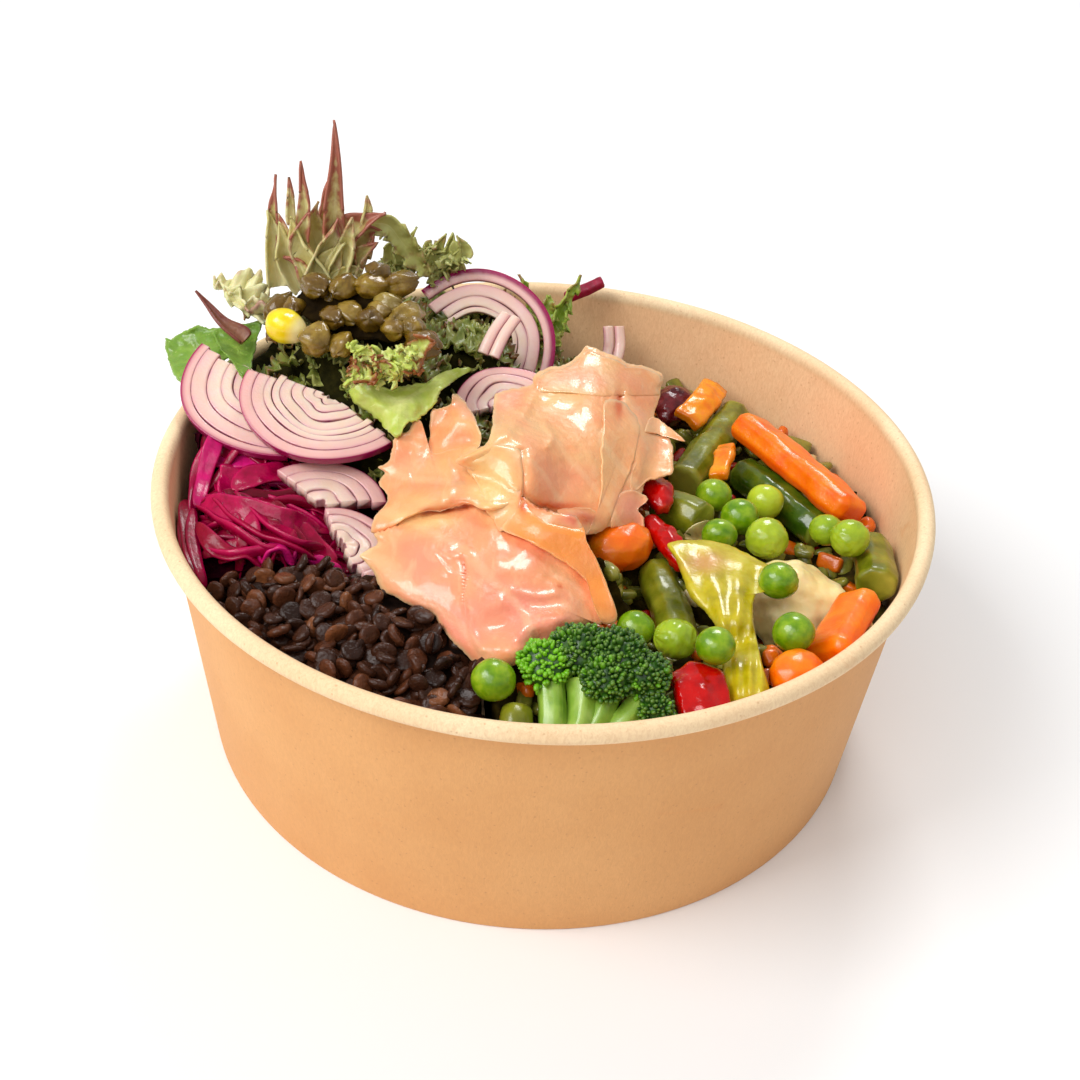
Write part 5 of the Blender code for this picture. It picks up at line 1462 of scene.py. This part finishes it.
# The fanned broccoli stem with its trunk: its middle and its outline in pixels
STALK = (
    (734, 598),
    ((669, 543), (676, 560), (683, 578), (691, 598), (704, 611), (714, 624), (720, 640), (722, 660),
        (722, 684), (720, 712), (742, 716), (762, 712), (770, 694), (762, 662), (756, 635), (753, 612),
        (757, 594), (772, 590), (785, 576), (770, 566), (752, 556), (732, 546), (705, 540)),
)

# Heads of the broccoli floret: middle and radius, and how bright
HEADS = (
    ((2.3, -59, 57.5), 5.0, 1.0), ((8.5, -56.5, 58.5), 5.6, 0.25), ((15.3, -57.5, 59), 5.6, 0.1),
    ((20.4, -60.5, 57.5), 4.7, 0.2), ((13.5, -62.5, 58), 4.8, 0.3), ((22.6, -66, 54.5), 3.3, 0.15),
)

# Stems of the floret: path and radius
STEMS = (
    (((8, -72.5, 48), (9.5, -67, 52), (9.5, -61, 55.5)), 3.3),
    (((10, -71, 48), (13, -66, 53), (15, -60, 56)), 2.6),
    (((4.2, -72.8, 48.5), (4, -67, 53), (3.2, -61, 56)), 2.9),
    (((13, -71.5, 48), (18, -66, 53), (22, -61, 55)), 2.6),
    (((12, -71.5, 47.5), (17, -69, 50), (22, -66.5, 52.5)), 2.0),
)


def peas():
    """Peas of their own sizes and greens, dimpled where they dried a little, some of them wrinkled."""
    look = food("pea", (88, 134, 4), (120, 160, 12), (156, 186, 34), patch=2.4, fine=0.5, relief=0.03,
                roughness=0.22, coat=0.3, through=0.25, reach=1.4,
                marks=(("pale", 0.0, 1.0, 0.65, (206, 220, 56)),
                       ("crease", 0.2, 1.0, 0.5, (176, 206, 70)),))
    round_ball, faces = ball(40, 28)
    pile = Pile()
    for k in range(1, 14):
        low, high = box_of(f"pea_{k}")
        centre, half = (low + high) / 2, (high - low) / 2
        crease = np.abs(rough(round_ball, 0.34, k * 3.0))
        dent = WRINKLED.get(k, 0.15)
        groove = np.exp(-crease * 9) * dent
        shape = round_ball * (1 + 0.06 * rough(round_ball, 1.2, k) - 0.10 * groove)[:, None]
        for side in (0.0, 2.6):
            mouth = turn(k + side, k * 2.0 + side) @ (0, 0, 1)
            dimple = np.exp(-((np.linalg.norm(round_ball - mouth, axis=1) / 0.5) ** 2))
            shape = shape * (1 - 0.07 * dimple)[:, None]
        shape = shape @ turn(k * 1.3, k * 0.7) * (1.0, 0.96, 0.95)
        pile.add(shape * half.mean() + centre, faces, crease=groove, pale=PALE.get(k, 0.0))
    pile.piece("peas_round", "pea", look, *(f"pea_{k}" for k in range(1, 14)))


def vegetable(node, slot, look, voxel=0.5, rounds=5, swell=0.1, lumps=((4.0, 0.25), (1.2, 0.06))):
    """A node's own form, softened and uneven. Marks: the cut ends, and the sides that face sideways, for
    painted shade.
    """
    points, faces, normals = rounded(node, voxel, rounds, swell, lumps)
    piece(f"{node}_food", points, faces, slot, look, node, ends=np.abs(along(points)),
          side_shade=np.clip(1 - 1.3 * normals[:, 2], 0, 1))


def vegetables():
    """The named pieces of vegetable, each with the skin of its kind."""
    bean = food("green_bean", (88, 96, 8), (118, 122, 20), (152, 150, 38), patch=5.0, fine=0.7,
                relief=0.06, roughness=0.28, coat=0.3, through=0.15, reach=1.2,
                marks=(("ends", 0.90, 0.97, 0.75, (184, 180, 70)),))
    deep = food("green_bean_deep", (36, 66, 6), (62, 90, 12), (108, 122, 24), patch=7.0, fine=0.7,
                relief=0.06, roughness=0.2, coat=0.4, through=0.1, reach=1.2,
                marks=(("ends", 0.90, 0.97, 0.75, (154, 162, 56)),))
    for node in ("bean_back", "bean_middle", "bean_right", "bean_low", "bean_end", "bean_front"):
        vegetable(node, "green_bean", deep if node == "bean_middle" else bean, voxel=0.5, rounds=6,
                  swell=0.25, lumps=((7.0, 0.5), (2.0, 0.12)))
    # Carrot faces that turn sideways are painted redder and darker as shade.
    carrot = food("carrot", (244, 96, 0), (252, 118, 0), (255, 140, 8), patch=5.0, fine=0.8, relief=0.09,
                  roughness=0.3, coat=0.25, through=0.25, reach=1.6,
                  marks=(("side_shade", 0.4, 1.0, 0.6, (246, 76, 0)),))
    for node in ("carrot_long", "carrot_right", "carrot_chunk", "carrot_end"):
        vegetable(node, "carrot", carrot, voxel=0.35, rounds=1, swell=0.7, lumps=((7.0, 0.6), (2.2, 0.08)))
    red = food("red_pepper", (150, 0, 0), (186, 2, 2), (206, 14, 8), patch=3.6, fine=0.6, relief=0.05,
               roughness=0.16, coat=0.25, through=0.15, reach=1.2,
               marks=(("ends", 0.9, 1.0, 0.5, (222, 70, 36)),), ior=1.36)
    for node in ("pepper_red_top", "pepper_red_side", "pepper_red_front"):
        vegetable(node, "red_pepper", red, voxel=0.35, rounds=4, swell=0.3, lumps=((4.0, 0.7), (1.5, 0.2)))
    orange = food("orange_pepper", (234, 116, 0), (246, 142, 2), (250, 166, 16), patch=3.6, fine=0.6,
                  relief=0.05, roughness=0.22, coat=0.3, through=0.2, reach=1.4,
                  marks=(("ends", 0.8, 1.0, 0.5, (204, 84, 8)),))
    for node in ("pepper_orange", "pepper_amber"):
        vegetable(node, "orange_pepper", orange, voxel=0.35, rounds=4, swell=0.2,
                  lumps=((4.0, 0.6), (1.5, 0.12)))
    beet = food("beetroot", (58, 4, 10), (94, 14, 22), (126, 32, 38), patch=2.6, fine=0.8, relief=0.14,
                roughness=0.22, coat=0.25, through=0.1, reach=1.0)
    vegetable("kidney_bean", "beetroot", beet, voxel=0.4, rounds=3, swell=0.1,
              lumps=((3.0, 0.6), (1.2, 0.2)))
    crimson = food("beet_strip", (120, 0, 36), (156, 6, 54), (184, 26, 80), patch=3.0, fine=0.6,
                   relief=0.06)
    vegetable("beet_strip_top", "beetroot", crimson, voxel=0.35, rounds=4, swell=0.1)
    cream = food("cauliflower", (250, 214, 142), (253, 226, 160), (255, 236, 182), patch=7.0, fine=0.9,
                 relief=0.07, roughness=0.34, coat=0.2, through=0.35, reach=3.0)
    vegetable("cauliflower", "cauliflower", cream, voxel=0.5, rounds=6, swell=0.4,
              lumps=((7.0, 1.2), (2.6, 0.4), (1.0, 0.1)))
    white_chip(cream)


def white_chip(look):
    """The small pale chip between the peas."""
    middle, outline = CHIP
    bed = tree_of("vegetable_bed", "bean_end", "pea_5")
    points, faces, _ = sheet(outline, middle, bed, lift=2.4, thick=1.0, spokes=90, rings=12, torn=0.8,
                             lip=0.3, droop=0.4, rounds=8)
    piece("white_chip", points, faces, "cauliflower", look)


def stalks():
    """The broad stem of a broccoli, fanned above and ribbed below, yellow-green and paler on its raised ribs
    as a painted highlight, with a brownish bruise.
    """
    # Painted highlight: the stalk is paler where its ribs rise.
    look = food("broccoli_stalk", (166, 150, 6), (196, 178, 22), (214, 198, 70), patch=4.0, fine=0.7,
                relief=0.07, roughness=0.22, coat=0.3, through=0.35, reach=2.2,
                marks=(("ribs", 0.4, 1.0, 0.4, (216, 208, 96)),
                       ("bruise", 0.1, 0.9, 0.7, (206, 140, 96))))
    middle, outline = STALK

    def ribbed(points, pixels):
        side = (pixels[:, 0] - middle[0]) / np.clip(34 - 0.25 * (pixels[:, 1] - 545), 12, 40)
        return 0.3 * np.sin(6 * side + 0.4 * rough(points, 8.0)) + 0.5 * rough(points, 5.0)

    trees = tree_of("stalk_fan", "stalk_lower")
    points, faces, share = sheet(outline, middle, trees, lift=0.4, thick=3.6, spokes=220, rings=40,
                                 torn=0.8, lip=0.2, droop=1.4, rounds=30, relief=ribbed)
    pixels = pixels_of(points)
    bruise = np.exp(-(((pixels[:, 0] - 705) / 24) ** 2) - ((pixels[:, 1] - 562) / 12) ** 2)
    piece("stalk_food", points, faces, "broccoli_stalk", look, "stalk_fan", "stalk_lower",
          ribs=np.clip(ribbed(points, pixels), 0, 1), bruise=bruise)


def broccoli():
    """One floret: ribbed stems under heads that are thick with small buds."""
    stem = food("broccoli_stem", (112, 156, 40), (142, 180, 62), (172, 202, 92), patch=4.0, fine=0.6,
                relief=0.05, roughness=0.3, coat=0.4, through=0.25, reach=1.4)
    pile = Pile()
    for number, (path, radius) in enumerate(STEMS):
        line = curve(path, 30)
        share = np.linspace(0, 1, 30)
        around = angles_round(20)
        size = radius * (1 - 0.25 * share + 0.3 * share**4)
        ribs = 1 + 0.07 * np.sin(around * 5 + number) + 0.04 * np.sin(around * 9)
        section = np.stack((np.outer(size, np.cos(around) * ribs), np.outer(size, np.sin(around) * ribs)),
                           -1)
        points, faces = sweep(line, section)
        pile.add(points + 0.12 * rough(points, 2.0)[:, None], faces)
    pile.piece("broccoli_stems", "broccoli", stem, "broccoli")

    green = food("broccoli", (20, 54, 4), (40, 84, 10), (74, 116, 22), patch=1.6, fine=0.4, relief=0.05,
                 roughness=0.42, coat=0.15, through=0.08, reach=0.8,
                 marks=(("tone", 0.3, 0.9, 0.95, (118, 190, 22)),
                        ("tip", 0.5, 1.0, 0.35, (140, 176, 56))))
    head, head_faces = ball(28, 18)
    bud, bud_faces = ball(7, 5)
    pile = Pile()
    draw = random.Random(17)
    golden, bud_area = math.pi * (3 - math.sqrt(5)), 0.72
    flat = np.array((1, 1, 0.85))
    for centre, radius, bright in HEADS:
        centre = np.array(centre)
        lump = 1 + 0.22 * rough(head * radius + centre, 2.4)
        pile.add(head * (radius * 0.9) * lump[:, None] * flat + centre, head_faces, tone=bright * 0.3,
                 tip=0.0)
        count = int(4 * math.pi * radius**2 / bud_area)
        for k in range(count):
            z = 1 - 2 * (k + 0.5) / count
            if z < -0.3:
                continue
            flat_r = math.sqrt(1 - z * z)
            way = np.array((flat_r * math.cos(golden * k), flat_r * math.sin(golden * k), z))
            way = unit(way + np.array((draw.gauss(0, 0.09), draw.gauss(0, 0.09), draw.gauss(0, 0.09))))
            lump = 1 + 0.22 * noise.noise(Vector((way * radius + centre) / 2.4)) + draw.uniform(-0.05, 0.05)
            spot = way * radius * 0.97 * lump * flat + centre
            inside = any(np.linalg.norm((spot - np.array(c)) / flat) < r * 0.85 for c, r, _ in HEADS
                         if c != tuple(centre.tolist()))
            size = draw.uniform(0.3, 0.62)
            tone = share_near(draw, bright, 0.25)
            if not inside:
                shape = bud * (size, size * draw.uniform(0.7, 1.1), size * draw.uniform(1.1, 1.7))
                pile.add(shape @ tip_to(way).T + spot, bud_faces, tone=tone, tip=np.clip(bud[:, 2], 0, 1))
    pile.piece("broccoli_heads", "broccoli", green, "broccoli")


def vegetable_bed():
    """The low mix under the vegetables: a core painted dark as shade, with chopped bits lying on it."""
    dark = shade_core_look("mix_shade_core", (30, 24, 6), (50, 40, 12), (76, 62, 20))
    core = heap("vegetable_bed", "vegetable_mix", dark, swell=-0.7, lumps=((5.0, 0.8), (2.0, 0.3)))
    others = others_than("vegetable_bed")
    bits = food("chopped_mix", (92, 98, 30), (128, 128, 44), (160, 152, 62), patch=3.0, fine=0.6,
                relief=0.08, roughness=0.26, coat=0.45, through=0.2, reach=1.4,
                marks=(("orange", 0.5, 0.6, 1.0, (232, 110, 12)),
                       ("pale", 0.5, 0.6, 1.0, (226, 206, 150)), ("red", 0.5, 0.6, 1.0, (170, 18, 12))))
    round_ball, faces = ball(12, 8)
    draw = random.Random(31)
    pile = Pile()
    for spacing, rise in ((5.2, 0.4), (6.6, 1.8)):
        for x, y in lattice(spacing, draw, 2.0):
            hit, normal = from_above(core, x, y)
            half = np.array((draw.uniform(1.6, 3.4), draw.uniform(1.2, 2.2), draw.uniform(0.8, 1.6)))
            power, kind, seed = draw.uniform(0.45, 0.8), draw.random(), draw.uniform(0, 40)
            tilt = turn(draw.gauss(0, 0.5), draw.gauss(0, 0.5), draw.uniform(0, 6.3))
            if hit is None or normal.z < 0.3:
                continue
            centre = np.array(hit) + (0, 0, rise)
            room = others.find_nearest(Vector(centre))[3]
            if not inside_wall(centre, 2.6) or room < 1.6:
                continue
            half *= min(1.0, room / half.max())
            shape = np.sign(round_ball) * np.abs(round_ball) ** power * half
            shape = shape * (1 + 0.12 * rough(shape, 1.5, seed))[:, None]
            pile.add(shape @ tilt.T + centre, faces, orange=float(kind < 0.16),
                     pale=float(0.28 <= kind < 0.36), red=float(0.36 <= kind < 0.44))
    pile.piece("chopped_bits", "vegetable_mix", bits, "vegetable_bed")


# Stage, light and camera


# Strength of the light from all round, and each lamp's place, size in metres and power in watts
SURROUNDINGS = 0.47
LAMPS = (
    ("key", (-0.75, -0.3, 0.95), 0.6, 8.6),
    ("fill", (-0.35, -0.75, 0.9), 0.7, 3.4),
    ("back", (0.15, 0.75, 0.9), 0.3, 4.4),
)


def stage():
    """A plain pale floor, soft light from all round, and the photograph's camera."""
    mesh = bpy.data.meshes.new("floor")
    side = 6.0
    mesh.from_pydata([(-side, -side, 0), (side, -side, 0), (side, side, 0), (-side, side, 0)], [],
                     [(0, 1, 2, 3)])
    floor = placed("floor", mesh)
    look = Look("pale_floor", roughness=0.9)
    tone = look.ramp(look.noise(400, 2.0), (0.0, (245, 245, 245)), (1.0, (250, 250, 250)))
    mesh.materials.append(look.done(tone))

    world = bpy.data.worlds.new("studio")
    world.use_nodes = True
    world.node_tree.nodes["Background"].inputs["Color"].default_value = (1.0, 1.0, 1.0, 1.0)
    world.node_tree.nodes["Background"].inputs["Strength"].default_value = SURROUNDINGS
    bpy.context.scene.world = world
    for name, place, size, power in LAMPS:
        light = bpy.data.lights.new(name, "AREA")
        light.size = size
        light.energy = power
        lamp = placed(name, light)
        lamp.location = place
        lamp.rotation_euler = (Vector((0, 0, 0.05)) - Vector(place)).to_track_quat("-Z", "Y").to_euler()

    camera = placed("camera", bpy.data.cameras.new("camera"))
    camera.data.lens = LENS
    camera.data.sensor_width = SENSOR
    camera.data.clip_start = 0.01
    place = Matrix((RIGHT, UPWARD, -FORWARD)).transposed().to_4x4()
    place.translation = Vector((EYE + AXIS) * MM)
    camera.matrix_world = place
    bpy.context.scene.camera = camera
    bpy.context.scene.view_settings.view_transform = "Standard"


stage()
bowl()
lentils()
red_cabbage()
vegetable_bed()
vegetables()
stalks()
broccoli()
peas()
onions()
salmon()
lettuce()
capers()
corn_kernel()
